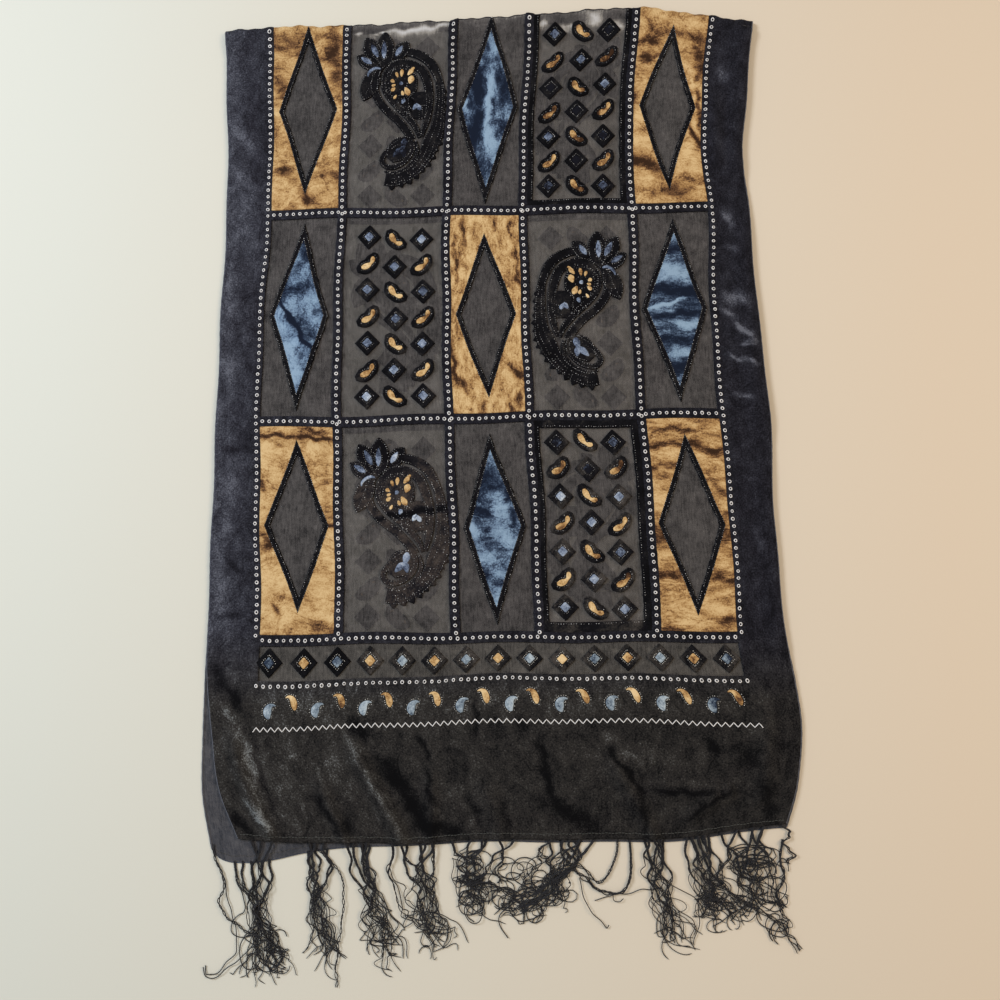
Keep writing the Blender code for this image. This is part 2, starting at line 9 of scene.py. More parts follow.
import bpy
import numpy as np
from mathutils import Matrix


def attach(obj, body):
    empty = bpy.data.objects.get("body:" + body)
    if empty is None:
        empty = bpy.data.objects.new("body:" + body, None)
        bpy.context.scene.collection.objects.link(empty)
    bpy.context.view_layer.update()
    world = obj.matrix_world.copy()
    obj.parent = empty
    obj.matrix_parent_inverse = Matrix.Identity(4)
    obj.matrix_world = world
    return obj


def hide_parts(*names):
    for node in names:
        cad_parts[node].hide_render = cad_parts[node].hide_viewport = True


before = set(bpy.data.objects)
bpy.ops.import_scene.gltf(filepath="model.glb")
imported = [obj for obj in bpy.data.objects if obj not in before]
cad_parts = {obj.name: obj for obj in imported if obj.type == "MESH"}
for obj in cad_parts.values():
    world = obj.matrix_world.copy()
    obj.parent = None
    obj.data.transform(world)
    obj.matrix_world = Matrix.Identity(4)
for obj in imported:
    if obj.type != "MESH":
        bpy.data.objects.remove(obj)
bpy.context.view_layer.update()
MM = 0.001
print("CAD nodes", len(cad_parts))

# %% [markdown]
# ## Where the cloth lies
# A cloth pattern is easiest to draw on the flat cloth. So every place here is told by u, millimetres
# from the left edge, and v, millimetres from the fold: v is positive on the upper half and negative on
# the under half. The table below says where lines across the cloth lie on the table top, read at a few
# places, and a smooth curve joins them. One function then lays any pattern on the folded cloth.

# %% The lines across the cloth
WIDTH, HALF, BORDER = 508.0, 762.0, 41.0
FOLD_V = 8.0            # the roll of the fold reaches from v = -8 to v = 8
FRONT_LOW = 1.8         # underside of the upper half above the table
FOLD_HIGH = 2.7         # how far the roll lifts it
#        v   left edge  first line  last line  right edge  bow    y at five places of u
LINES = np.array((
    (0,   -262.0, -219.5, 208.0, 246.5,  1.5,  364.5,  374.0,  381.5,  391.0,  376.0),
    (77,  -257.0, -216.0, 199.8, 238.2,  0.5,  291.7,  298.3,  304.0,  310.8,  302.2),
    (135, -254.0, -214.8, 196.4, 232.0, -1.0,  236.9,  241.2,  245.6,  250.4,  246.7),
    (198, -252.5, -214.1, 201.5, 235.4, -5.0,  177.3,  179.3,  182.2,  184.8,  186.3),
    (300, -253.7, -217.7, 200.8, 239.8, -1.5,   75.0,   76.3,   79.6,   82.6,   83.8),
    (396, -253.5, -217.2, 204.9, 246.7, -0.7,  -21.2,  -20.7,  -17.0,  -13.7,  -12.8),
    (495, -253.1, -213.9, 211.1, 246.8, -0.5, -120.0, -118.0, -115.6, -113.6, -113.2),
    (594, -252.5, -210.0, 215.3, 252.8, -2.0, -218.6, -215.5, -214.2, -213.5, -213.7),
    (630, -250.3, -210.7, 219.7, 258.3, -3.2, -256.9, -254.9, -249.5, -250.0, -252.6),
    (666, -245.9, -210.3, 227.0, 262.9, -7.0, -296.0, -290.9, -286.0, -286.3, -291.7),
    (714, -237.0, -199.0, 222.0, 257.5, -3.0, -341.0, -339.5, -335.0, -334.5, -333.5),
    (762, -219.4, -182.0, 208.5, 245.7,  0.0, -384.0, -387.2, -383.5, -383.1, -370.9)))
Y_PLACES = (0.0, 114.5, 254.0, 393.5, 508.0)
UNDER_OUT = np.array(((0, 0.0), (594, -0.5), (630, -3.0), (666, -8.0), (714, -14.0), (762, -22.5)))
UNDER_DROP = np.array(((0, -9.0), (6, -15.5), (30, -17.8), (75, -8.5), (115, -4.0), (254, -2.5),
                       (508, -3.0)))
print("lines across the cloth", len(LINES))

# %% A smooth reading of a table


def smooth_table(places, values, at):
    """Cubic curve through the values: each stretch leaves and arrives with the mean slope of its
    two neighbours. values has one row for each place, and one column, or one for each asked place."""
    places, values, at = np.asarray(places, float), np.asarray(values, float), np.ravel(at)
    if values.ndim == 1:
        values = np.repeat(values[:, None], at.size, axis=1)
    slopes = np.diff(values, axis=0) / np.diff(places)[:, None]
    tangents = np.vstack([slopes[:1], (slopes[:-1] + slopes[1:]) / 2, slopes[-1:]])
    i = np.clip(np.searchsorted(places, at, side="right") - 1, 0, len(places) - 2)
    n = np.arange(at.size)
    step = places[i + 1] - places[i]
    t = np.clip((at - places[i]) / step, 0, 1)
    return ((2 * t**3 - 3 * t**2 + 1) * values[i, n] + (t**3 - 2 * t**2 + t) * step * tangents[i, n]
            + (3 * t**2 - 2 * t**3) * values[i + 1, n] + (t**3 - t**2) * step * tangents[i + 1, n])


def table_xy(u, v):
    """Across the pattern x runs evenly from the first line to the last, plus a bow of 4s(1 - s); the
    two borders run from there to the edges. y is read along u between its five places. Small waves
    that fade with exp(-(v / 12)^2) make the edge of the fold uneven."""
    left, first, last, right, bow = (smooth_table(LINES[:, 0], LINES[:, k], v) for k in range(1, 6))
    ys = np.stack([smooth_table(LINES[:, 0], LINES[:, k], v) for k in range(6, 11)])
    s = np.clip((u - BORDER) / (WIDTH - 2 * BORDER), 0, 1)
    x = first + (last - first) * s + bow * 4 * s * (1 - s)
    x = np.where(u < BORDER, left + (first - left) * u / BORDER, x)
    x = np.where(u > WIDTH - BORDER, last + (right - last) * (u - WIDTH + BORDER) / BORDER, x)
    y = smooth_table(Y_PLACES, ys, u)
    ripple = (1.1 * np.sin(u / 6.3) * np.sin(u / 21 + 1) + 0.5 * np.sin(u / 2.2 + 2)
              + 1.7 * np.exp(-((u - 40) / 45) ** 2) - 2.4 * np.exp(-((u - 142) / 40) ** 2))
    ripple = ripple * np.exp(-(v / 12) ** 2)
    return x + 0.6 * np.sin(v / 17 + u / 60), y + 0.7 * np.sin(u / 19 + v / 90) + ripple


# %% [markdown]
# ## The folds
# Velvet is springy, so a laid scarf keeps soft ridges: long ones where the end band is gathered by its hem,
# small tucks in the fields. Each ridge is a rounded hump along a line, placed where the scarf has one, and
# it fades out at both ends.

# %% The ridges
#        u0   v0   u1   v1  height  half width, in millimetres
RIDGES = np.array((
    (18, 652, 34, 765, 6.0, 7.0), (122, 668, 156, 770, 6.5, 8.0), (90, 700, 101, 770, 4.0, 6.0),
    (191, 694, 178, 770, 3.5, 6.0), (232, 706, 246, 770, 3.0, 9.0), (338, 690, 389, 768, 4.5, 7.0),
    (372, 718, 440, 727, 3.0, 8.0), (404, 750, 452, 722, 3.5, 8.0), (470, 640, 478, 745, 3.0, 10.0),
    (474, 312, 503, 331, 2.2, 6.0), (470, 339, 503, 346, 2.0, 6.0), (474, 70, 480, 165, 3.5, 9.0),
    (40, 411, 118, 412, 2.2, 6.0), (52, 280, 98, 340, 2.4, 6.0), (501, -20, 501, 175, 4.2, 11.0),
    (501, 170, 502, 430, 3.6, 11.0), (502, 400, 503, 620, 2.4, 11.0)))


def lift(u, v):
    """The roll lowers in a smooth step over 24 mm, a slow wave of 0.3 mm runs through the cloth, and
    each ridge adds height * exp(-(distance / half width)^2) times a fade at its ends."""
    t = np.clip((v - FOLD_V) / 24.0, 0, 1)
    up = FOLD_HIGH * (1 - t * t * (3 - 2 * t))
    up = up + 0.3 * (1 + np.sin(u / 37 + 1.3) * np.sin(v / 53)) * t
    for u0, v0, u1, v1, height, half in RIDGES:
        run = np.hypot(u1 - u0, v1 - v0)
        along = ((u - u0) * (u1 - u0) + (v - v0) * (v1 - v0)) / run
        off = ((u - u0) * (v1 - v0) - (v - v0) * (u1 - u0)) / run
        fade = np.clip(along / (0.3 * run), 0, 1) * np.clip((run - along) / (0.12 * run), 0, 1)
        up = up + height * np.exp(-(off / half) ** 2) * fade * fade * (3 - 2 * fade)
    return up


def place(u, v, h):
    """The point h millimetres out from the cloth's inner face at (u, v). On the upper half that is
    straight up, on the under half straight down at three quarters the scale, and round the fold it
    runs over half an ellipse."""
    u, v, h = (np.ravel(a).astype(float) for a in np.broadcast_arrays(u, v, h))
    turn = np.clip(v / FOLD_V, -1, 1) * np.pi / 2
    depth = np.maximum(np.abs(v), FOLD_V)
    x, y = table_xy(u, depth)
    x0, y0 = table_xy(u, np.zeros_like(u))
    x8, y8 = table_xy(u, np.full_like(u, FOLD_V))
    t = (6 + h) * np.cos(turn) / FOLD_V
    below = (1 - np.sin(turn)) / 2
    out = smooth_table(UNDER_OUT[:, 0], UNDER_OUT[:, 1], depth) * np.maximum(0, 1 - u / 254) ** 2
    drop = smooth_table(UNDER_DROP[:, 0], UNDER_DROP[:, 1], u)
    drop = drop * np.clip((depth - 600) / (HALF - 600), 0, 1) ** 2
    x = x + (x0 - x8) * t + (out + 1.2 * u / WIDTH) * below
    y = y + (y0 - y8) * t + drop * below
    z = 3 + 0.125 * h + (1.5 + 0.875 * h) * np.sin(turn)
    z = np.maximum(np.where(v > FOLD_V, FRONT_LOW + lift(u, v) + h, z), 0.03)
    return np.stack([x, y, z], axis=-1) * MM


print("middle of the hem, in metres", place(254, 762, 0)[0].round(4))

# %% [markdown]
# ## Surfaces from arrays
# Every piece is a set of patches: a grid of (u, v, height) that place() turns into points. The pile
# is a low relief on the chiffon, with a rounded shoulder where it was burnt away beside it. A bag
# collects the patches of one piece, so that hundreds of small motifs become one mesh.

# %% Bags, patches and pieces


def new_bag():
    return {"points": [], "faces": [], "uvs": [], "count": 0}


def add_points(bag, points, faces, uvs):
    """Adds ready points, faces as index rows, and a (u, v) in metres for each point."""
    bag["points"].append(points)
    bag["faces"].append(faces + bag["count"])
    bag["uvs"].append(uvs)
    bag["count"] += len(points)


def grid_faces(rows, cols, close_rows=False, close_cols=False):
    """Quads between neighbouring rows and columns; a closed side joins its last line to its first."""
    i, j = np.meshgrid(np.arange(rows if close_rows else rows - 1),
                       np.arange(cols if close_cols else cols - 1), indexing="ij")
    m, k = (i + 1) % rows, (j + 1) % cols
    return np.stack([i * cols + j, m * cols + j, m * cols + k, i * cols + k], axis=-1).reshape(-1, 4)


def for_each_copy(faces, count, size):
    """The same faces again for each of count copies of a shape with size points."""
    return (np.arange(count)[:, None, None] * size + faces).reshape(-1, faces.shape[1])


def add_patch(bag, u, v, h):
    """Lays a grid of cloth places into the bag, with its faces turned away from the cloth."""
    u, v, h = np.broadcast_arrays(u, v, h)
    faces = grid_faces(*u.shape)
    fu, fv = np.ravel(u)[faces], np.ravel(v)[faces]
    area = ((fu[:, 2] - fu[:, 0]) * (fv[:, 3] - fv[:, 1])
            - (fu[:, 3] - fu[:, 1]) * (fv[:, 2] - fv[:, 0])).sum()
    if area > 0:
        faces = faces[:, ::-1]
    add_points(bag, place(u, v, h), faces, np.stack([np.ravel(u), np.ravel(v)], axis=-1) * MM)


def shoulder(distance, width=0.9):
    """A quarter circle: 0 at the edge of the pile and 1 from the given width inwards."""
    return np.sqrt(np.clip(1 - (1 - np.clip(distance / width, 0, 1)) ** 2, 0, 1))


def strokes_at(u, v, strokes):
    """The painted light and shade at a place, told as how far the pile leans: each stroke adds amount *
    exp(-(along / half length)^4 - (across / half width)^2). The place is first shaken by short waves, so no
    stroke is straight."""
    su = u + 1.1 * np.sin(v / 3.7 + u / 9) + 0.7 * np.sin(v / 1.9 - u / 5)
    sv = v + 1.1 * np.sin(u / 4.1 + v / 11) + 0.7 * np.sin(u / 2.3 + 1)
    lean = np.zeros_like(u)
    for mu, mv, half_length, half_width, degrees, amount in strokes:
        c, s = np.cos(np.radians(degrees)), np.sin(np.radians(degrees))
        along, across = (su - mu) * c + (sv - mv) * s, (sv - mv) * c - (su - mu) * s
        lean = lean + amount * np.exp(-(along / half_length) ** 4 - (across / half_width) ** 2)
    return lean


def make_piece(name, bag, materials, nodes=(), pick=None, nap=None):
    """Joins a bag into one smooth mesh that rides on the root and may stand for CAD nodes. nap gives the
    light and shade painted into the pile or chiffon at (u, v), which the velvet and chiffon materials read
    as an attribute."""
    points, faces = np.concatenate(bag["points"]), np.concatenate(bag["faces"])
    uvs = np.concatenate(bag["uvs"])
    mesh = bpy.data.meshes.new(name)
    mesh.from_pydata(points, [], faces.tolist())
    layer = mesh.uv_layers.new(name="cloth")
    layer.uv.foreach_set("vector", uvs[faces.reshape(-1)].astype(np.float32).reshape(-1))
    mesh.polygons.foreach_set("use_smooth", np.ones(len(faces), dtype=bool))
    for material in materials:
        mesh.materials.append(material)
    if nap is not None:
        lean = mesh.attributes.new("nap", "FLOAT", "POINT")
        lean.data.foreach_set("value", nap(uvs[:, 0] / MM, uvs[:, 1] / MM).astype(np.float32))
    if pick is not None:
        mesh.polygons.foreach_set("material_index", pick(uvs[faces].mean(axis=1) / MM).astype(np.int32))
    mesh.update()
    obj = bpy.data.objects.new(name, mesh)
    bpy.context.scene.collection.objects.link(obj)
    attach(obj, "root")
    if nodes:
        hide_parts(*nodes)
    print(name, "triangles", 2 * len(faces))
    return obj


# %% [markdown]
# ## Colours and a helper for materials
# Colours are read as they look on a screen and turned linear for the renderer. One helper adds a
# shader node with its settings and links, and the materials below are built with it.

# %% Colour and node helpers


def linear(hex_colour):
    """sRGB to linear: c / 12.92 below 0.04045, else ((c + 0.055) / 1.055) to the power 2.4."""
    c = np.array([int(hex_colour[k:k + 2], 16) for k in (1, 3, 5)]) / 255
    return (*np.where(c <= 0.04045, c / 12.92, ((c + 0.055) / 1.055) ** 2.4), 1.0)


def add_node(tree, kind, settings=None, inputs=None, links=None):
    """A node of one kind; inputs are values by socket name, links are sockets by socket name."""
    node = tree.nodes.new(kind)
    for key, value in (settings or {}).items():
        setattr(node, key, value)
    for key, value in (inputs or {}).items():
        node.inputs[key].default_value = value
    for key, socket in (links or {}).items():
        tree.links.new(socket, node.inputs[key])
    return node


def new_material(name):
    """An empty node tree with its output."""
    material = bpy.data.materials.new(name)
    material.use_nodes = True
    material.node_tree.nodes.clear()
    return material, material.node_tree, add_node(material.node_tree, "ShaderNodeOutputMaterial")


def maths(tree, operation, *terms):
    """A Math node whose terms are numbers or sockets. This helper and the next three each return the
    output of their node."""
    node = add_node(tree, "ShaderNodeMath", {"operation": operation})
    for socket, term in zip(node.inputs, terms):
        if isinstance(term, float):
            socket.default_value = term
        else:
            tree.links.new(term, socket)
    return node.outputs[0]


def noise_at(tree, spot, size_mm, detail, roughness=0.5, distortion=0.0):
    """Noise with features of size_mm, read at a spot that is told in metres."""
    return add_node(tree, "ShaderNodeTexNoise", inputs={
        "Scale": 1000 / size_mm, "Detail": detail, "Roughness": roughness, "Distortion": distortion},
        links={"Vector": spot}).outputs["Fac"]


def bump(tree, height, strength, distance, **normal):
    """Relief from a height; normal may name the relief below it as Normal=socket."""
    return add_node(tree, "ShaderNodeBump", inputs={"Strength": strength, "Distance": distance},
                    links={"Height": height, **normal}).outputs["Normal"]


def ramp_at(tree, value, stops):
    """The colour at a value, from stops as (position, hex colour)."""
    ramp = add_node(tree, "ShaderNodeValToRGB", links={"Fac": value})
    elements = ramp.color_ramp.elements
    while len(elements) < len(stops):
        elements.new(0.5)
    for element, (position, colour) in zip(elements, stops):
        element.position = position
        element.color = linear(colour)
    return ramp.outputs["Color"]


def cloth_inputs(tree):
    """Where a spot lies on the flat cloth, in metres, and the light and shade painted in at it."""
    cloth = add_node(tree, "ShaderNodeUVMap", {"uv_map": "cloth"})
    nap = add_node(tree, "ShaderNodeAttribute", {"attribute_name": "nap"})
    return cloth.outputs["UV"], nap.outputs["Fac"]


def close_material(tree, output, inputs, links):
    """The shader at the end of a tree; its constants stand on its own sockets."""
    shader = add_node(tree, "ShaderNodeBsdfPrincipled", inputs=inputs, links=links)
    tree.links.new(shader.outputs["BSDF"], output.inputs["Surface"])


# %% [markdown]
# ## The velvets
# Velvet is a pile of upright fibres. It is darkest where you look down into the fibres and lighter where
# they lean over, so crushed velvet shows pale and dark patches that have nothing to do with its dye. The big
# patches are placed as strokes of lean, where this scarf has them. A slow noise breaks their borders, a thin
# crooked line of the second noise makes the cracks, and a fine noise of about a millimetre gives the fibre
# tufts. A little sheen is the soft light on the leaning fibres.

# %% A crushed or plain velvet
TUFT_MM = 1.5
CRACK_HALF = 0.03           # a crack runs where the second noise is this near to its middle
BAND_FROM, BAND_TO = 0.585, 0.645   # metres from the fold, where the end band's colours take over
GOLD_SHEEN, BLUE_SHEEN = "#e8cfa0", "#a8c0dc"


def velvet(name, stops, patch_mm, stretch=(1.0, 1.0), turn=0.0, shift=(0.0, 0.0), vary=1.5, crack=0.2,
           grain=0.8, sheen_colour="#8a8a90", end_stops=None):
    """tone = 0.5 + lean + vary (patches - 0.5) + grain (tufts - 0.5) - crack where |lines - 0.5| is under
    CRACK_HALF; colour = ramp(tone). The lean from the nap attribute and the patches are painted sheen and
    shade of the crushed pile, and the cracks are painted shade in its creases. relief = tone for creases and
    tufts for fibres. end_stops is a second ramp that takes over towards the end band."""
    material, tree, output = new_material(name)
    cloth, nap = cloth_inputs(tree)
    spot = add_node(tree, "ShaderNodeMapping", inputs={
        "Location": (*shift, 0.0), "Rotation": (0.0, 0.0, turn), "Scale": (*stretch, 1.0)},
        links={"Vector": cloth}).outputs["Vector"]
    patches = noise_at(tree, spot, patch_mm, 6.0, 0.72, 0.3)
    lines = noise_at(tree, spot, patch_mm / 0.7, 4.0, 0.6, 0.8)
    tufts = noise_at(tree, cloth, TUFT_MM, 2.0, 0.8)
    leaning = maths(tree, "MULTIPLY_ADD", patches, vary, nap)
    off_line = maths(tree, "ABSOLUTE", maths(tree, "SUBTRACT", lines, 0.5))
    level = 0.5 - 0.5 * (vary + grain)
    crease_shade = add_node(tree, "ShaderNodeMapRange", inputs={
        "From Min": 0.0, "From Max": CRACK_HALF, "To Min": level - crack, "To Max": level},
        links={"Value": off_line})
    crumpled = maths(tree, "ADD", leaning, crease_shade.outputs["Result"])
    tone = maths(tree, "MULTIPLY_ADD", tufts, grain, crumpled)
    colour = ramp_at(tree, tone, stops)
    if end_stops:
        axes = add_node(tree, "ShaderNodeSeparateXYZ", links={"Vector": cloth})
        share = add_node(tree, "ShaderNodeMapRange", inputs={"From Min": BAND_FROM, "From Max": BAND_TO},
                         links={"Value": axes.outputs["Y"]})
        both = add_node(tree, "ShaderNodeMix", {"data_type": "RGBA"}, links={
            0: share.outputs["Result"], 6: colour, 7: ramp_at(tree, tone, end_stops)})
        colour = both.outputs[2]
    creases = bump(tree, crumpled, 0.6, 0.0006)
    close_material(tree, output, {"Roughness": 0.9, "Specular IOR Level": 0.08, "Sheen Weight": 0.04,
                                  "Sheen Roughness": 0.4, "Sheen Tint": linear(sheen_colour)},
                   {"Base Color": colour, "Normal": bump(tree, tufts, 0.4, 0.0004, Normal=creases)})
    return material


BLACKS = ((0.08, "#121217"), (0.34, "#212128"), (0.54, "#2f3038"), (0.74, "#42444d"), (0.95, "#62656f"))
BAND = ((0.10, "#09090b"), (0.28, "#151516"), (0.45, "#262525"), (0.62, "#302e2c"), (0.80, "#464645"),
        (1.00, "#7a7e7f"))
GOLDS = ((0.08, "#38261a"), (0.27, "#6c4e35"), (0.41, "#967248"), (0.51, "#af8a5a"), (0.63, "#c4a270"),
         (0.85, "#dabc8a"))
BLUES = ((0.12, "#161e2e"), (0.30, "#263246"), (0.45, "#44546a"), (0.56, "#667c96"), (0.68, "#7b94ad"),
         (0.88, "#8fa9c1"))
black_velvet = velvet("black_velvet_pile", BLACKS, 17, (1.3, 0.9), turn=0.3, vary=1.1, crack=0.15,
                      grain=1.3, end_stops=BAND)
motif_velvet = velvet("black_velvet_motifs", (
    (0.2, "#08080b"), (0.55, "#131317"), (0.75, "#2b2928"), (1.0, "#4a4643")), 14, vary=1.2)
print("velvets made")

# %% [markdown]
# ## Chiffon
# Where the pile is gone only the ground is left, a black chiffon. Its threads stand apart, so about
# half of the light goes between them. A plain transparency shows that from a step away, because the
# single threads, a tenth of a millimetre thick, are far too fine to see.

# %% The sheer cloth


def chiffon(name, stops, cover):
    """A matt sheet that hides the given share of what is behind it. Its grey is ramp(0.5 patches + 0.2 weave
    + nap): patches of 30 mm with grains of a millimetre, threads drawn ten times too coarse at 1.4 by 10 mm
    so that they show, and nap, the light painted in where it comes through the cloth beside the fold."""
    material, tree, output = new_material(name)
    cloth, nap = cloth_inputs(tree)
    patches = noise_at(tree, cloth, 30, 7.0, 0.92)
    along = add_node(tree, "ShaderNodeMapping", inputs={"Scale": (1.0, 0.14, 1.0)},
                     links={"Vector": cloth})
    weave = noise_at(tree, along.outputs["Vector"], 1.4, 2.0)
    stretched = maths(tree, "MULTIPLY_ADD", patches, 0.5, nap)
    tone = maths(tree, "MULTIPLY_ADD", weave, 0.2, stretched)
    close_material(tree, output, {"Roughness": 0.9, "Specular IOR Level": 0.1, "Alpha": cover},
                   {"Base Color": ramp_at(tree, tone, stops)})
    return material


# The pale end of this ramp, up to white, is reached where light is painted in beside the fold.
sheer = chiffon("black_chiffon", (
    (0.28, "#353435"), (0.42, "#6e6b6a"), (0.54, "#b6b2ab"), (0.72, "#ffffff")), 0.54)
sheer_strip = chiffon("black_chiffon_doubled", ((0.28, "#3b3a39"), (0.42, "#6e6b67")), 0.60)

# %% [markdown]
# ## The ground cloth
# The chiffon runs through the whole scarf, so it is one sheet from one hem round the fold to the
# other. It is a surface with no thickness, half a millimetre out from the cloth's inner face, and the
# pile stands on it.

# %% One sheet, folded
GROUND_H, PILE_H = 0.5, 2.0     # the chiffon and the top of the pile, out from the cloth's inner face
INSET = 0.6                     # the sheet ends this far inside the rolled edges
STRIP = (599, 627)              # the sheer strip above the end band
us = np.linspace(INSET, WIDTH - INSET, 168)
vs = np.concatenate([np.linspace(-HALF + INSET, -24, 124), np.linspace(-23, 14, 45),
                     np.linspace(16, HALF - INSET, 187)])
ground_bag = new_bag()
add_patch(ground_bag, *np.meshgrid(us, vs), GROUND_H)

# Painted light on the chiffon beside the fold, where light comes through the roll: strokes as for the pile
# below.
FOLD_LIGHT_STROKES = (
    (196, 8.2, 22, 2.6, -9, 0.31), (163, 11.6, 14, 2.5, -2, 0.27), (183, 13.4, 24, 3.6, -6, 0.17),
    (125, 12.6, 3.5, 1.6, 20, 0.30), (141, 13.4, 4.5, 1.4, -10, 0.26), (150, 11.8, 3.0, 1.2, 0, 0.28),
    (304, 12.5, 5.0, 4.0, 20, 0.32), (327, 17.0, 5.5, 3.6, 10, 0.32), (353, 11.0, 7.0, 7.0, 80, 0.34),
    (377, 19.0, 6.0, 4.2, 50, 0.30), (250, 9.0, 18, 1.4, 0, 0.06))


def stretch(u, v):
    """Painted light: the strokes, and the roll of the fold, painted paler by 0.08 where |v| is under 5."""
    roll = 0.08 * np.clip(1.6 - np.abs(v) / 5, 0, 1)
    return strokes_at(u, v, FOLD_LIGHT_STROKES) + roll


def doubled(middle):
    """Second material in the strip, where the cloth lies double."""
    across = np.abs(middle[:, 1])
    return (across > STRIP[0]) & (across < STRIP[1])


COLUMN_LINES = np.array((41.0, 114.5, 217.25, 290.75, 393.5, 467.0))
FRONT_ROWS = (-5.0, 198.0, 396.0, 594.0)
UNDER_ROWS = (-5.0, -203.0, -401.0, -599.0)
PATTERN = (("gold", "paisley", "blue", "beans", "gold"), ("blue", "beans", "gold", "paisley", "blue"))
fields = [(half, row, col, PATTERN[(row + half) % 2][col]) for half in (0, 1) for row in range(3)
          for col in range(5)]


def nodes_named(*starts):
    return [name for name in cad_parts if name.startswith(starts)]


ground = make_piece("ground_chiffon", ground_bag, [sheer, sheer_strip],
                    nodes_named("window", "surround", "beans", "paisley_ground") + ["strip_diamonds"],
                    pick=doubled, nap=stretch)

# %% [markdown]
# ## The black pile: borders, bars and end bands
# The black pile is what the burning left whole: a border down each side, bars between the fields, and
# a plain band at each end. Each stretch is a patch with a rounded shoulder on its free edges, and the
# edges wander by a third of a millimetre, because a printed paste never ends on a straight line.

# %% Strips of pile


def spaced(a, b, step, shoulders=(True, True)):
    """Even places from a to b, with closer ones on the shoulders at either end."""
    sign = 1 if b > a else -1
    places = np.linspace(a, b, max(2, int(abs(b - a) / step) + 1))
    extra = []
    if shoulders[0]:
        extra += [a + sign * d for d in (0.15, 0.4, 0.9)]
    if shoulders[1]:
        extra += [b - sign * d for d in (0.15, 0.4, 0.9)]
    near = [p for p in places[1:-1] if all(abs(p - e) > 0.6 for e in extra)]
    return np.array(sorted([a, b] + near + extra, reverse=sign < 0))


def pile_strip(bag, u0, u1, v0, v1, edges, step_u=3.0, step_v=3.0, top=PILE_H):
    """A rectangle of pile; edges names its free sides out of l, r, s (start of v) and e (its end)."""
    u = spaced(u0, u1, step_u, ("l" in edges, "r" in edges))
    v = spaced(v0, v1, step_v, ("s" in edges, "e" in edges))
    U, V = np.meshgrid(u, v)
    rise = np.ones_like(U)
    for edge, inside in (("l", U - u0), ("r", u1 - U), ("s", np.abs(V - v0)), ("e", np.abs(v1 - V))):
        if edge in edges:
            rise = rise * shoulder(inside)
    wander = 0.22 * np.sin(V / 2.3) + 0.16 * np.sin(V / 0.9 + U / 31)
    U = U + (wander if u1 - u0 < 20 else 0.0)
    add_patch(bag, U, V, GROUND_H + (top - GROUND_H) * rise)


# Painted sheen and shade on the black pile, a plus lighter and a minus darker: u, v, half length, half
# width, degrees, amount.
BLACK_SHEEN_AND_SHADE = (
    (24, 421, 16, 2.5, 3, -0.30), (23, 529, 13, 2.5, 35, -0.30), (20, 572, 14, 3, 5, -0.30),
    (488, 288, 14, 6, 10, 0.60), (478, 300, 10, 2.2, 40, 0.5), (492, 318, 13, 3, 42, 0.75),
    (496, 331, 8, 2.4, 0, 0.7), (490, 346, 14, 2.2, 18, 0.75), (484, 214, 9, 5, 70, 0.4),
    (486, 240, 7, 3, 10, 0.45), (482, 60, 8, 5, 60, 0.35), (488, 380, 10, 2.0, 5, 0.6),
    (488, 455, 12, 2, 5, 0.25), (490, 510, 10, 5, 80, 0.25),
    (484, 60, 14, 10, 60, 0.12), (481, 205, 8, 6, 30, 0.30), (486, 410, 14, 3, -10, 0.15),
    (28, 210, 50, 12, 90, 0.10), (15, 480, 30, 8, 90, 0.12), (34, 120, 40, 8, 88, -0.12),
    (20, 122, 16, 6, 50, 0.16), (8, 108, 14, 3, 70, 0.12), (7, 45, 12, 5, 80, 0.1),
    (14, 162, 14, 6, 60, 0.12), (9, 280, 16, 6, 80, 0.2), (16, 205, 14, 6, 75, 0.15),
    (12, 350, 18, 7, 70, 0.15), (20, 455, 12, 8, 40, 0.2), (12, 560, 20, 6, 80, 0.2))
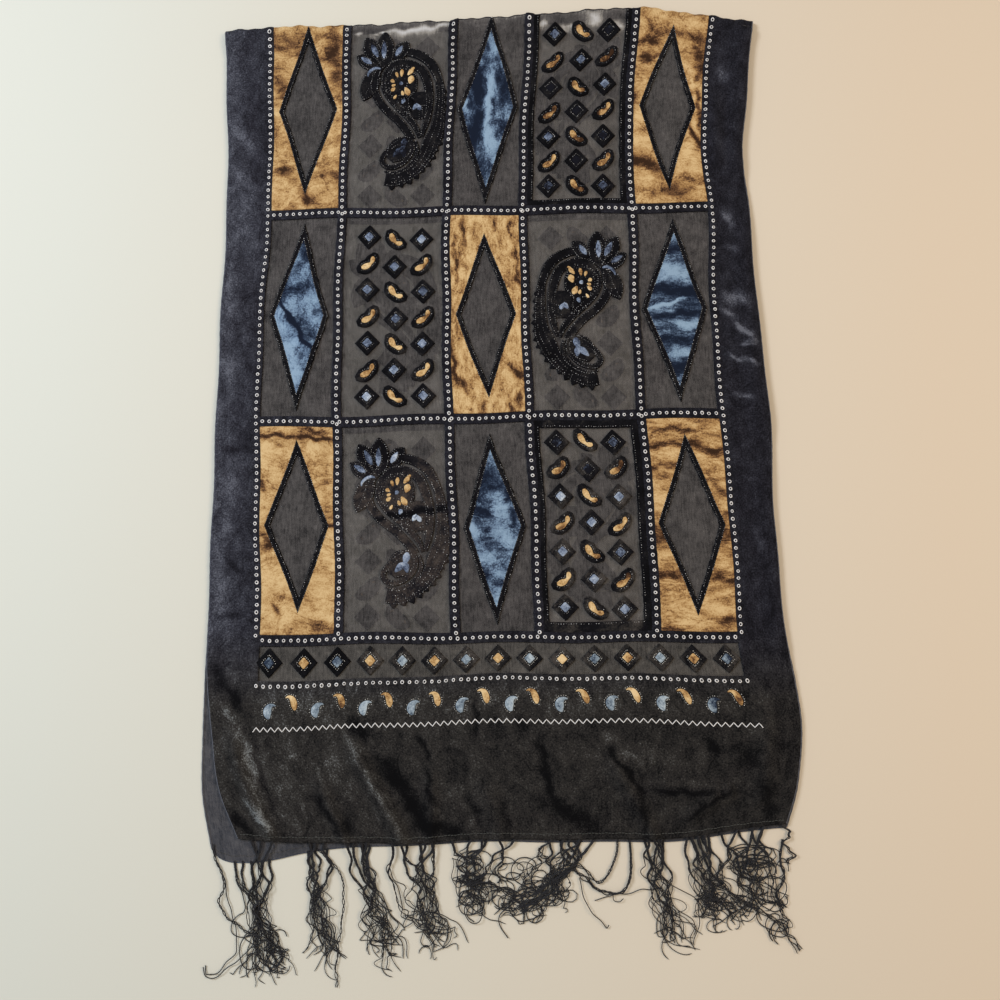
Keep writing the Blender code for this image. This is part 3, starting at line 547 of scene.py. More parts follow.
# Painted highlights on the crests of the end band's ridges and painted shade beside them, in the same
# columns.
BAND_HIGHLIGHTS_AND_SHADE = (
    (24, 662, 20, 4.6, 57, 0.28), (35, 694, 18, 5.4, 88, 0.30), (33, 734, 26, 4.2, 94, 0.24),
    (26, 736, 16, 4.4, 61, 0.26),
    (126, 681, 14, 3.2, 76, 0.20), (136, 710, 20, 3.6, 70, 0.25), (148, 742, 18, 3.0, 66, 0.20),
    (254, 648, 225, 13, 0, 0.13),
    (72, 688, 6, 1.6, -12, 0.25), (93, 706, 11, 1.4, 80, 0.20), (70, 734, 10, 1.6, 85, 0.15),
    (19, 634, 25, 5.2, 52, -0.46), (10, 749, 14, 5.5, 60, -0.50), (135, 668, 12, 6.5, 40, -0.42),
    (157, 706, 18, 8.0, 58, -0.55), (172, 736, 16, 8.0, 70, -0.50), (190, 752, 18, 5.5, 12, -0.45),
    (91, 737, 18, 4.0, 72, -0.40), (106, 745, 10, 4.0, 88, -0.32), (42, 700, 50, 3.0, 86, -0.20),
    (189, 686, 12, 2.0, 72, -0.42), (186, 717, 14, 2.2, 95, -0.42), (236, 662, 16, 2.2, 90, -0.40),
    (212, 690, 8, 5.0, 40, -0.22), (222, 735, 16, 3.0, 70, -0.30), (250, 745, 14, 3.5, 75, -0.25),
    (288, 694, 14, 2.6, 80, -0.40), (290, 717, 16, 3.4, 70, -0.42), (309, 741, 30, 6.0, 28, -0.38),
    (356, 706, 24, 2.4, 50, -0.42), (374, 741, 19, 2.6, 78, -0.42), (408, 724, 27, 2.0, 2, -0.45),
    (431, 735, 18, 2.4, -33, -0.40), (430, 685, 9, 3.5, 35, -0.32), (482, 733, 36, 5.0, 62, -0.25),
    (455, 690, 12, 8.0, 30, -0.20), (272, 668, 8, 5.0, 60, -0.25), (255, 668, 7, 4.0, 60, -0.20),
    (358, 692, 24, 3.0, 43, 0.16), (405, 716, 28, 2.2, 0, 0.14), (382, 694, 34, 8.0, 12, 0.10),
    (376, 745, 18, 2.0, 72, 0.14), (318, 690, 20, 12.0, 0, 0.08), (470, 668, 20, 4.0, -20, 0.12),
    (60, 700, 26, 16.0, 80, 0.06), (110, 706, 24, 10.0, 75, 0.08))


def black_painted_light(u, v):
    """Painted light on the black pile: the left border is painted lighter at its outer edge and darker
    towards the pattern, as light falls from the left, and the right border darker; the whole pile is painted
    lighter towards the left, the bars between the fields darker, and the strokes add painted sheen and
    shade.
    """
    side = np.clip(np.minimum(u, WIDTH - u) / BORDER, 0, 1)
    fields_only = np.clip((620 - v) / 30, 0, 1)
    slope = np.where(u < WIDTH / 2, 0.26 * (0.5 - side), -0.10) * fields_only
    bars = np.where((u > BORDER + 5) & (u < WIDTH - BORDER - 5) & (v < 596), -0.2, slope)
    return strokes_at(u, v, BLACK_SHEEN_AND_SHADE + BAND_HIGHLIGHTS_AND_SHADE) + 0.08 * (1 - u / 254) + bars


BAR, SILL = 4.6, 5.0                # half widths of the bars that run along and across
BAND_V, UNDER_BAND_V = 626, -631    # where the whole pile of the end bands starts
pile_bag, band_bag, under_bag = (new_bag() for _ in range(3))
pile_strip(pile_bag, 0, BORDER + BAR - 0.6, UNDER_BAND_V, BAND_V, "lr")
pile_strip(pile_bag, WIDTH - BORDER - BAR + 0.6, WIDTH, UNDER_BAND_V, BAND_V, "lr")
for line in COLUMN_LINES[1:-1]:
    pile_strip(pile_bag, line - BAR, line + BAR, -599, 594, "lr")
for line in (*FRONT_ROWS, *UNDER_ROWS[1:]):
    pile_strip(pile_bag, BORDER, WIDTH - BORDER, line - SILL, line + SILL, "se", top=1.97)
pile_strip(band_bag, 0, WIDTH, BAND_V, HALF, "lre", 2.1, 2.1)
pile_strip(under_bag, 0, WIDTH, UNDER_BAND_V, -HALF, "lre")
make_piece("black_pile_lattice", pile_bag, [black_velvet], ["lattice_front", "fold_roll"], nap=black_painted_light)
make_piece("end_band_front", band_bag, [black_velvet], ["hem_front", "strip_drops"], nap=black_painted_light)
make_piece("end_band_under", under_bag, [velvet("black_velvet_wrong_side", (
    (0.3, "#3b424f"), (0.5, "#4c5565"), (0.8, "#5f6b7d")), 40, vary=0.7, crack=0.0, grain=0.5)],
    ["under_layer"])

# %% [markdown]
# ## Diamonds, gold fields and blue diamonds
# A gold field is crushed pile with a sheer diamond burnt out of it; a blue one is a pile diamond on
# sheer cloth. Both diamonds have an outline of black pile about four millimetres wide. The field is
# drawn as two halves, each with rows from its outer edge to the diamond, and the outline as a ring
# between two diamonds of different size.

# %% Sizes read for each diamond of the upper half
#            middle v, half height, half width
DIAMONDS = {(0, 0): (90.5, 90.0, 28.7), (0, 2): (95.7, 95.3, 30.0), (0, 4): (98.0, 84.5, 28.0),
            (1, 0): (296.9, 89.0, 27.8), (1, 2): (298.7, 80.1, 29.2), (1, 4): (297.0, 88.5, 30.0),
            (2, 0): (492.0, 80.3, 29.4), (2, 2): (496.7, 86.2, 28.0), (2, 4): (495.5, 82.0, 30.4)}
LINE_W = 5.2            # width of an outline
BACKING_H = 1.0         # under a coloured field of the under half the black pile is this high


def field_box(half, row, col):
    """The field between its four pattern lines, as u0, u1, v0, v1, with v0 nearer the fold."""
    rows = UNDER_ROWS if half else FRONT_ROWS
    return COLUMN_LINES[col], COLUMN_LINES[col + 1], rows[row], rows[row + 1]


def diamond_of(half, row, col, kind):
    """Middle u and v, half width and half height of a field's diamond."""
    u0, u1, v0, v1 = field_box(half, row, col)
    if half:
        return (u0 + u1) / 2, (v0 + v1) / 2, 29.0, 82.0 if kind == "gold" else 88.0
    v, b, a = DIAMONDS[(row, col)]
    return (u0 + u1) / 2, v, a, b


def gold_patches(bag, half, row, col, diamond, top=PILE_H, step=1.7):
    """Each half: u = outer edge + s (inner edge - outer edge), where the inner edge is the diamond's
    side, or the middle line above and below it."""
    u0, u1, v0, v1 = field_box(half, row, col)
    mu, mv, a, b = diamond
    sign = 1 if v1 > v0 else -1
    v0, v1 = v0 + sign * 4.5, v1 - sign * 4.5
    v = spaced(v0, v1, step)
    a, b = a - 0.6, b - 1.6
    for side, edge in ((-1, u0 + 3.4), (1, u1 - 3.4)):
        inner = mu + side * a * np.clip(1 - np.abs(v - mv) / b, 0, 1)
        s = spaced(0, abs(edge - mu), step, (True, False)) / abs(edge - mu)
        wander = 0.25 * np.sin(v / 1.9) + 0.2 * np.sin(v / 5.3)
        U = edge + wander[:, None] * (1 - s[None]) + (inner - edge)[:, None] * s[None]
        V = np.repeat(v[:, None], len(s), axis=1)
        rise = 1.0
        for inside in (U - edge, V - v0, V - v1):
            rise = rise * shoulder(np.abs(inside), 0.8)
        add_patch(bag, U, V, GROUND_H + (top - GROUND_H) * rise)


def diamond_patch(bag, mu, mv, a, b, top=PILE_H, cols=37):
    """u = middle + q a (1 - |v - middle| / b) with q from -1 to 1."""
    v = mv + b * np.linspace(-1, 1, 3 * cols + 10)
    q = np.linspace(-1, 1, cols)
    U = mu + q[None] * a * np.clip(1 - np.abs(v - mv) / b, 0.0, 1)[:, None]
    add_patch(bag, U, np.repeat(v[:, None], cols, axis=1), top)


def diamond_ring(bag, mu, mv, a, b, width, top=2.15, low=GROUND_H):
    """A loop of points round the diamond, scaled by k across the outline, where k takes the corner
    in by width / sin(angle)."""
    t = np.linspace(0, 4, 241)[:-1]
    corner, part = t.astype(int), t % 1
    cu, cv = np.array((0, 1, 0, -1, 0)), np.array((-1, 0, 1, 0, -1))
    du = cu[corner] + (cu[corner + 1] - cu[corner]) * part
    dv = cv[corner] + (cv[corner + 1] - cv[corner]) * part
    du, dv = np.append(du, du[0]), np.append(dv, dv[0])
    inward = np.array((0, 0.04, 0.13, 0.26, 0.5, 0.74, 0.87, 0.96, 1)) * width
    k = 1 - inward[None] * np.hypot(a, b) / (a * b)
    rough = 0.35 * np.sin(t * 23) + 0.30 * np.sin(t * 61 + 1) + 0.25 * np.sin(t * 37 + a)
    rough = np.append(rough, rough[0])[:, None] / a
    k = k + rough * np.where((inward < 0.1) | (inward > width - 0.1), 1.0, 0.3)[None]
    rise = shoulder(inward) * shoulder(width - inward)
    H = low + (top - low) * np.repeat(rise[None], len(du), axis=0)
    add_patch(bag, mu + a * du[:, None] * k, mv + b * dv[:, None] * k, H)


# %% How each field was crushed
# The strokes paint the sheen and shade of the crushed pile into its colour. They are told from the middle of
# the field: across, along, half length, half width, degrees, amount; a plus is painted lighter, as pile
# leaning to the light, and a minus darker, as pile leaning away from it. The first line of each field is the
# size of its patches in mm, their stretch across and along, and the turn of the stretch.
CRUSH_SHEEN = {
    (0, 0): ((24, (1.0, 1.3), 0.5), (
        (-24, -80, 18, 12, 10, -0.28), (27, -58, 34, 7, 84, -0.42), (-25, -34, 13, 5, 80, -0.35),
        (25, 62, 14, 5, 10, -0.35), (-22, 56, 10, 5, 0, -0.32), (2, 84, 10, 3, 80, -0.45),
        (-27, 8, 22, 7, 90, 0.12), (24, 25, 24, 7, 85, 0.12), (-24, 80, 12, 8, 0, 0.1))),
    (0, 2): ((20, (1.8, 0.8), 0.0), (
        (1, -8, 40, 3.6, 92, 0.55), (-22, -2, 7, 3, 80, 0.50), (3, -62, 10, 6, 90, 0.30),
        (5, 32, 12, 7, 70, 0.40), (20, 8, 12, 5, 40, 0.15), (-12, -24, 20, 7, 85, -0.45),
        (-11, 20, 18, 7, 95, -0.50), (15, -22, 16, 6, 80, -0.32), (-4, 68, 16, 4, 90, -0.25),
        (10, 56, 8, 3, 60, 0.2))),
    (0, 4): ((24, (1.0, 1.4), -0.4), (
        (-28, -62, 18, 4, -15, -0.60), (-17, -48, 14, 4, -18, -0.42), (28, -55, 22, 7, 75, -0.42),
        (31, 8, 24, 3, 82, -0.50), (-34, -8, 8, 3, 80, -0.35), (-22, 58, 22, 6, 25, -0.60),
        (5, 86, 18, 5, 0, -0.30), (27, 30, 14, 2.4, 60, -0.70), (10, -86, 28, 5, 3, 0.05),
        (25, -16, 20, 2.4, 85, 0.30), (23, 52, 18, 8, 70, 0.25), (-27, 26, 20, 7, 80, 0.12),
        (-26, 80, 12, 4, 0, 0.15), (0, -74, 30, 5, 5, -0.18))),
    (1, 0): ((22, (1.2, 1.0), 0.4), (
        (-1, 13, 31, 1.7, 58, -1.10), (4, -70, 18, 9, 90, -0.30), (16, -38, 9, 6, 60, -0.18),
        (17, 4, 12, 6, 60, -0.14), (0, -26, 9, 5, 30, -0.25), (-18, 6, 15, 5, 58, 0.30),
        (-5, 50, 24, 8, 75, 0.30), (9, -10, 14, 8, 50, 0.22), (4, -46, 8, 5, 90, 0.22),
        (8, 60, 14, 3, 80, -0.30), (-16, -22, 8, 5, 70, -0.25))),
    (1, 2): ((16, (2.2, 0.9), 0.1), (
        (-28, -55, 26, 2.4, 86, -0.42), (-20, -76, 14, 2.4, 80, -0.40), (10, -86, 12, 2.4, 95, -0.36),
        (24, -82, 12, 2.2, 85, -0.36), (30, -45, 24, 2.4, 88, -0.42), (-31, 42, 16, 3, 80, -0.55),
        (-26, 64, 14, 3, 60, -0.45), (26, 56, 14, 3, 50, -0.50), (30, 78, 12, 3, 120, -0.40),
        (-5, 92, 9, 2.4, 90, -0.4), (20, 92, 8, 2.4, 70, -0.4), (-33, 0, 22, 1.8, 88, -0.32),
        (0, -92, 30, 4, 0, 0.12), (-20, 86, 12, 6, 0, 0.15), (24, 20, 24, 6, 90, 0.12))),
    (1, 4): ((20, (0.8, 1.9), 0.15), (
        (0, -57, 15, 5, 0, -0.40), (0, -36, 22, 7, 8, 0.45), (5, -17, 30, 5, 8, -0.50),
        (-8, -4, 20, 1.6, -15, 0.75), (5, 6, 30, 3, -5, -0.38), (13, 16, 14, 4, -10, 0.36),
        (0, 30, 24, 4, 5, -0.40), (4, 42, 11, 4, 10, 0.32), (2, 58, 14, 6, 0, -0.40),
        (-2, -70, 6, 4, 0, 0.35), (0, -84, 8, 5, 0, -0.3))),
    (2, 0): ((26, (0.9, 1.4), 0.0), (
        (0, -84, 38, 1.8, 3, -0.62), (18, -90, 14, 1.8, 5, -0.35), (-26, 12, 8, 3, 60, -0.42),
        (-20, 72, 6, 2.5, 70, -0.55), (24, 88, 16, 5, 15, -0.35), (33, -3, 10, 1.5, -10, -0.80),
        (-32, -40, 8, 3, 80, -0.30), (0, 40, 60, 60, 0, 0.10), (-24, -62, 12, 10, 0, 0.08),
        (10, 66, 10, 3, 45, -0.25))),
    (2, 2): ((20, (1.0, 1.2), 0.3), (
        (0, -78, 12, 5, 90, 0.55), (2, -54, 8, 5, 20, 0.15), (-8, -42, 13, 8, 30, -0.45),
        (11, -30, 10, 5, 60, -0.35), (4, -20, 14, 6, 70, 0.30), (-12, -14, 10, 3, 20, -0.45),
        (16, -8, 8, 3, 80, -0.40), (-22, 2, 8, 5, 60, 0.40), (8, 12, 18, 8, 40, 0.32),
        (-4, 30, 12, 8, 20, 0.22), (-12, 42, 8, 4, 60, -0.35), (4, 52, 8, 3, 20, -0.30),
        (2, 68, 16, 5, 90, 0.30))),
    (2, 4): ((20, (0.8, 2.0), 0.1), (
        (-10, -84, 30, 2.6, 3, -0.42), (-12, -70, 26, 2.2, -3, -0.48), (20, -66, 18, 2.6, 5, -0.42),
        (-24, -50, 14, 2.6, 0, -0.36), (-30, 12, 10, 7, 20, -0.36), (28, 10, 10, 8, 80, -0.32),
        (-24, 46, 17, 4, -4, -0.45), (26, 50, 14, 3.6, 5, -0.45), (28, 84, 8, 5, 30, -0.30),
        (-24, 92, 8, 3, 0, -0.25), (30, -30, 12, 3.4, 30, -0.32), (-24, -20, 16, 6, 0, 0.12),
        (0, 74, 32, 8, 0, 0.12)))}
# How much lighter or darker each field's pile is painted as a whole, as its sheen.
BASE_SHEEN = {(0, 0): 0.06, (0, 2): -0.07, (0, 4): 0.09, (1, 0): 0.03, (1, 2): 0.12, (1, 4): -0.05,
             (2, 0): 0.08, (2, 2): -0.02, (2, 4): 0.06}


def painted_sheen_in(row, col):
    """The painted sheen and shade of one field as a function of u and v."""
    u0, u1, v0, v1 = field_box(0, row, col)
    middle = (u0 + u1) / 2, (v0 + v1) / 2
    strokes = [(middle[0] + x, middle[1] + y, *rest) for x, y, *rest in CRUSH_SHEEN[(row, col)][1]]
    return lambda u, v: strokes_at(u, v, strokes) + BASE_SHEEN[(row, col)]


# %% The crushed fields, their outlines and the under half
outline_bag, backing_bag, under_gold_bag, under_blue_bag = (new_bag() for _ in range(4))
for half, row, col, kind in fields:
    if kind not in ("gold", "blue"):
        continue
    diamond = diamond_of(half, row, col, kind)
    mu, mv, a, b = diamond
    inner = 1 - (LINE_W - 0.6) * np.hypot(a, b) / (a * b)
    if half == 0:
        patch, stretch, turn = CRUSH_SHEEN[(row, col)][0]
        field_bag = new_bag()
        name = f"{kind}_r{row + 1}_c{col + 1}"
        gold = kind == "gold"
        velvet_here = velvet(f"crushed_velvet_{name}", GOLDS if gold else BLUES, patch, stretch, turn,
                             (0.37 * row + 0.11, 0.53 * col + 0.2), vary=1.8, crack=0.18,
                             sheen_colour=GOLD_SHEEN if gold else BLUE_SHEEN)
        if gold:
            gold_patches(field_bag, half, row, col, diamond)
        else:
            diamond_patch(field_bag, mu, mv, a * inner, b * inner)
        make_piece(name, field_bag, [velvet_here], [name], nap=painted_sheen_in(row, col))
        diamond_ring(outline_bag, mu, mv, a, b, LINE_W)
    elif kind == "gold":
        gold_patches(under_gold_bag, half, row, col, diamond, step=3.0)
        gold_patches(backing_bag, half, row, col, diamond, BACKING_H, step=3.4)
        diamond_ring(backing_bag, mu, mv, a, b, LINE_W)
    else:
        diamond_patch(under_blue_bag, mu, mv, a * inner, b * inner, cols=19)
        diamond_patch(backing_bag, mu, mv, a * inner, b * inner, BACKING_H, cols=17)
        diamond_ring(backing_bag, mu, mv, a, b, LINE_W)
make_piece("gold_fields_under", under_gold_bag,
           [velvet("crushed_velvet_gold_under", GOLDS, 28, (1.0, 1.8), 0.3)])
make_piece("blue_diamonds_under", under_blue_bag,
           [velvet("crushed_velvet_blue_under", BLUES, 26, (1.0, 1.8), 0.3)])
make_piece("pile_backing_under", backing_bag, [motif_velvet])
make_piece("diamond_outlines", outline_bag, [motif_velvet])

# %% [markdown]
# ## Small motifs: ribbons of pile
# Beans, small diamonds, drops, leaves and the bands of a paisley are all ribbons: a line with a width
# at each point, rounded over its shoulders. A leaf is a ribbon whose width goes to nothing at both
# ends, and a diamond is one whose width rises and falls in a straight line.

# %% A ribbon along a path


def ribbon(bag, path, widths, top=PILE_H, low=GROUND_H, samples=17, straight=False):
    """Points = path(s) + q width(s) / 2 normal(s), q from -1 to 1; height rises over the shoulders
    beside and at both ends of the path. Returns u and v of both sides."""
    path, widths = np.asarray(path, float), np.asarray(widths, float)
    length = np.concatenate([[0], np.cumsum(np.hypot(*np.diff(path, axis=0).T))])
    s = np.linspace(0, length[-1], samples)
    cu, cv = smooth_table(length, path[:, 0], s), smooth_table(length, path[:, 1], s)
    at = np.linspace(0, length[-1], len(widths))
    if straight or len(widths) == 1:
        w = np.interp(s, at, widths)
    else:
        w = smooth_table(at, widths, s)
    tu, tv = np.gradient(cu), np.gradient(cv)
    run = np.hypot(tu, tv) + 1e-9
    q = np.array((-1, -0.93, -0.75, -0.4, 0, 0.4, 0.75, 0.93, 1.0))
    U = cu[:, None] - (tv / run)[:, None] * q * w[:, None] / 2
    V = cv[:, None] + (tu / run)[:, None] * q * w[:, None] / 2
    rise = shoulder((1 - np.abs(q))[None] * np.maximum(w, 1.6)[:, None] / 2, 0.7)
    rise = rise * shoulder(np.minimum(s, length[-1] - s), 0.6)[:, None]
    add_patch(bag, U, V, low + (top - low) * rise)
    return U[:, 0], V[:, 0], U[:, -1], V[:, -1]


def turned(points, mu, mv, angle=0.0, flip=1.0, away=1.0):
    """Local points turned, mirrored across, laid at a place; away is -1 on the under half."""
    points = np.asarray(points, float)
    c, s = np.cos(angle), np.sin(angle)
    x, y = points[:, 0] * c - points[:, 1] * s, points[:, 0] * s + points[:, 1] * c
    return np.stack([mu + flip * x, mv + away * y], axis=-1)


# %% [markdown]
# ## Pin-dot stitches
# A row of tiny pale stitches runs round every motif and along the outlines. Each is half a
# millimetre of thread, drawn as a flat bead with eight faces, and thousands of them are one mesh.

# %% Beads along lines
dot_places, pale_places = [], []
DOTS_LEFT = 0.8
dot_rng = np.random.default_rng(17)


def dots_on(u, v, pitch, height=2.1, closed=False, out=0.0, pale=False):
    """Puts a dot every pitch millimetres along a line of cloth places, moved out along its normal; only
    a share of the stitches is left, the rest is worn away."""
    u, v = np.asarray(u, float), np.asarray(v, float)
    if closed:
        u, v = np.append(u, u[0]), np.append(v, v[0])
    length = np.concatenate([[0], np.cumsum(np.hypot(np.diff(u), np.diff(v)))])
    s = np.arange(pitch / 2, length[-1], pitch)
    du, dv = np.gradient(u), np.gradient(v)
    run = np.hypot(du, dv) + 1e-9
    at_u = np.interp(s, length, u + out * dv / run)
    at_v = np.interp(s, length, v - out * du / run)
    kept = dot_rng.uniform(size=len(s)) < DOTS_LEFT
    dots = np.stack([at_u, at_v, np.full(len(s), height)], axis=-1)
    (pale_places if pale else dot_places).append(dots[kept])


def dots_beside(lines, pitch, out, **kind):
    """Dots along both sides of a ribbon, out millimetres from it, or inside it if out is negative."""
    dots_on(lines[0], lines[1], pitch, out=out, **kind)
    dots_on(lines[2], lines[3], pitch, out=-out, **kind)


def loop_round(mu, mv, half_u, half_v, power, count):
    """A closed loop |x|^p + |y|^p = 1; power 1 is a diamond and 2 an oval."""
    t = np.linspace(0, 2 * np.pi, count, endpoint=False)
    x = np.sign(np.cos(t)) * np.abs(np.cos(t)) ** (2 / power)
    y = np.sign(np.sin(t)) * np.abs(np.sin(t)) ** (2 / power)
    return mu + half_u * x, mv + half_v * y


# %% [markdown]
# ## Beans and small diamonds
# Three fields of the upper half hold a small repeat of seven rows: diamond, bean, diamond, then bean,
# diamond, bean. Each motif is black pile with a coloured middle, gold in a bean and blue in a diamond.

# %% The bean repeat
BEAN = np.array(((-12.4, -2.2), (-7.0, 0.0), (0.2, 1.8), (7.2, 0.0), (12.4, -2.6)))
BEAN_W = (4.6, 13.4, 13.6, 12.8, 4.4)
BEAN_CORE = np.array(((-8.0, -1.2), (-4.6, 0.8), (0.0, 2.2), (3.6, 2.0), (6.4, 0.2), (7.6, -2.4)))
BEAN_CORE_W = (1.9, 5.6, 5.4, 2.8, 4.8, 1.9)
BEAN_TURN = 0.75                    # radians
DIAMOND_HALF, CORE_HALF = 12.0, 4.9
CORE_H, CORE_LOW = 2.3, 1.7         # a coloured middle stands on the black pile
motif_bag, gold_bag, blue_bag, pale_bag, worn_bag = (new_bag() for _ in range(5))
under_motif_bag, under_core_gold, under_core_blue = (new_bag() for _ in range(3))
BAGS = ((motif_bag, gold_bag, blue_bag), (under_motif_bag, under_core_gold, under_core_blue))
rng = np.random.default_rng(7)
# How far the columns of the repeat lie from an even one, across, and along for each of the seven rows.
BEAN_SHIFTS = {
    0: ((-1.0, 0.0, -0.3), ((-3.2, 0.5, 2.8, 3.2, 3.8, 4.1, 4.2), (-3.5, 0.8, 3.4, 4.3, 4.2, 4.7, 4.9),
                           (-3.2, -0.9, 2.4, 4.1, 5.4, 4.9, 4.9))),
    1: ((2.6, 2.6, 2.3), ((0.5, 0.4, 1.0, 0.4, 0.7, 0.7, 0.0), (3.0, 4.5, 3.6, 4.3, 2.3, 1.1, 0.0),
                          (4.5, 3.9, 4.3, 3.9, 3.7, 2.4, 1.7))),
    2: ((-1.7, -1.7, -2.3), ((-1.9, -3.2, -0.9, -1.5, -0.4, -0.6, -0.2),
                             (-4.0, -1.9, -2.1, -2.2, -1.1, 0.0, 0.9),
                             (-1.5, -3.0, -0.6, 0.0, 0.6, 1.2, 3.2)))}


def small_diamond(black, core, mu, mv, half, away, pale=False):
    """A black pile diamond with a coloured one on it."""
    for bag, reach, tip, *layer in ((black, half, 0.4, PILE_H, GROUND_H, 15),
                                    (core, CORE_HALF, 0.3, CORE_H, CORE_LOW, 9)):
        ribbon(bag, [(mu, mv - reach), (mu, mv), (mu, mv + reach)], (tip, 2 * reach, tip), *layer,
               straight=True)
    if away > 0:
        u, v = loop_round(mu, mv, CORE_HALF + 1.6, CORE_HALF + 1.6, 1.0, 24)
        dots_on(u, v, 1.7, closed=True, pale=pale)


def bean(black, core, mu, mv, angle, away):
    """A bent black oval with a gold crescent on it."""
    ribbon(black, turned(BEAN, mu, mv, angle, away=away), BEAN_W, samples=19)
    lines = ribbon(core, turned(BEAN_CORE, mu, mv, angle, away=away), BEAN_CORE_W, CORE_H, CORE_LOW, 13)
    if away > 0:
        dots_beside(lines, 1.9, 1.2)


for half, row, col, kind in fields:
    if kind != "beans":
        continue
    u0, u1, v0, v1 = field_box(half, row, col)
    away = -1.0 if half else 1.0
    black, gold, blue = BAGS[half]
    mid_u, mid_v = (u0 + u1) / 2, (v0 + v1) / 2 + (2.0 if (row == 0 and not half) else 0.0)
    framed = row != 1 and not half
    pitch_u, pitch_v = 26.0, 24.2 if framed else 25.4
    for r in range(7):
        for c in range(3):
            mu = mid_u + (c - 1) * pitch_u + rng.uniform(-0.5, 0.5)
            mv = mid_v + away * (r - 3) * pitch_v + rng.uniform(-0.5, 0.5)
            if not half:
                du, dv = BEAN_SHIFTS[row]
                mu, mv = mu + du[c], mv + dv[c][r]
            if (r + c) % 2 == 0:
                small_diamond(black, blue if half else pale_bag, mu, mv, DIAMOND_HALF, away)
            else:
                bean(black, gold, mu, mv, BEAN_TURN if r % 2 == 0 else -BEAN_TURN, away)
    if framed:
        # How far the frame reaches in from the left, the right, the top and the bottom.
        wl, wr, wt, wb = (5.0, 5.2, 0.0, 4.8) if row == 0 else (4.4, 6.4, 6.6, 8.6)
        pile_strip(motif_bag, u0 + BAR - 1, u0 + BAR + wl, v0 + 9, v1 - 5, "lr", top=1.9)
        pile_strip(motif_bag, u1 - BAR - wr, u1 - BAR + 1, v0 + 9, v1 - 5, "lr", top=1.9)
        pile_strip(motif_bag, u0 + BAR, u1 - BAR, v1 - SILL - wb, v1 - SILL + 1, "se", top=1.88)
        for at in (u0 + BAR + wl - 1.6, u1 - BAR - wr + 1.6):
            dots_on([at, at], [v0 + 10, v1 - SILL - wb], 2.2)
        dots_on([u0 + BAR + wl, u1 - BAR - wr], [v1 - SILL - wb + 1.6] * 2, 2.2)
        if row == 2:
            pile_strip(motif_bag, u0 + BAR, u1 - BAR, v0 + SILL - 1, v0 + SILL + wt, "se", top=1.88)
            dots_on([u0 + BAR + wl, u1 - BAR - wr], [v0 + SILL + wt - 1.6] * 2, 2.2)
print("bean fields drawn")

# %% [markdown]
# ## The paisleys
# A paisley is a drop with a bent tip. Here a thin sheer line draws the drop and runs on into a small
# second drop. Black pile fills both, inside the line and in a band outside it, with a toothed fan down
# the outer side and a crown of leaves on top. A round flower of gold petals sits inside, a blue sprig
# in the small drop. The paths below give its layout, in millimetres from the middle of its field.

# %% Paths of one paisley
#            path (across, along), widths
BANDS = (
    (((4, -59.6), (-4.7, -60.2), (-16.2, -57.4), (-26.6, -50.8), (-33.2, -40.1), (-36.7, -31)),
     (6, 8.6, 9.6, 9.8, 9, 7.6)),
    (((10, -54), (21.2, -45), (25.8, -32.6), (25.7, -22.2), (20.2, -10.9), (11.6, -1.7), (3, 4.9),
      (-4.6, 12.8), (-10.4, 19.6), (-13.6, 24.6)), (8.0,)),
    (((2, -49.5), (-11.2, -47.6), (-20.4, -41.2), (-25.2, -29.3), (-27.7, -15.7), (-27.6, -2),
      (-25.3, 11.4), (-22.4, 22)), (9, 9, 9.2, 8.8, 8.0, 7.4, 6.4, 4)),
    (((-6, -50), (6, -48), (14, -38), (16, -28), (12.6, -18.6), (5.2, -9.6), (-3.5, -1.4), (-12, 7.4),
      (-17.6, 15.4), (-20.6, 23)), (8.4, 8.4, 8.4, 8.2, 7.8, 7.4, 7, 6.6, 5.6, 3.2)),
    (((-4.5, 23.3), (4, 29.3), (11.5, 36), (15.2, 43), (12.8, 48.2), (6.5, 50.4), (-3, 47.8), (-10.2, 41.6),
      (-14, 34.5), (-13.4, 28), (-10, 23.8), (-3.5, 23.6)), (5.4,)),
    (((-16.8, 25), (-18.9, 32), (-17.8, 40.5), (-12.4, 48.4), (-4, 54.0), (5, 55.8), (12.4, 53.6)),
     (2.6, 3.8, 4.2, 4.2, 4.0, 3.6, 2)))
FAN = ((-33.6, -40), (-36.8, -30), (-38.2, -18), (-38.3, 0), (-37.2, 16), (-32.8, 28), (-27.4, 41),
       (-19.0, 51.6), (-8, 59.2), (3, 62.4), (12, 61.2))
FAN_W = (7, 8.4, 9.8, 10.8, 13.4, 17, 16, 13, 12, 13, 13)
PADS = (((0.6, -47), (0.6, -13), (10, 29, 33, 30, 14)), ((-17.4, -22), (-17.4, 5.0), (12, 22, 22, 20, 14)),
        ((-12, -7), (5, -13.5), (14, 18, 17, 12)), ((-10, 1), (-4, -4), (10, 12, 10)),
        ((-10, 24), (8, 43), (10, 21, 23, 19, 9)))
#       base, tip, width, and the middle's two ends and width
CROWN = (((24, -43), (37, -13.5), 17.5, ()),
         ((7, -53), (-6.8, -70), 14.5, ((5.6, -55.6), (-1.0, -66.2), 5.0)),
         ((21, -44), (43, -58.4), 15, ((28, -48.6), (39.4, -56.2), 5.0)),
         ((15.8, -46), (16.3, -80), 18, ((16.8, -53), (16.8, -71), 5.0)),
         ((19.5, -48), (35, -75), 17, ((22.2, -54.6), (29.8, -69.6), 5.2)))
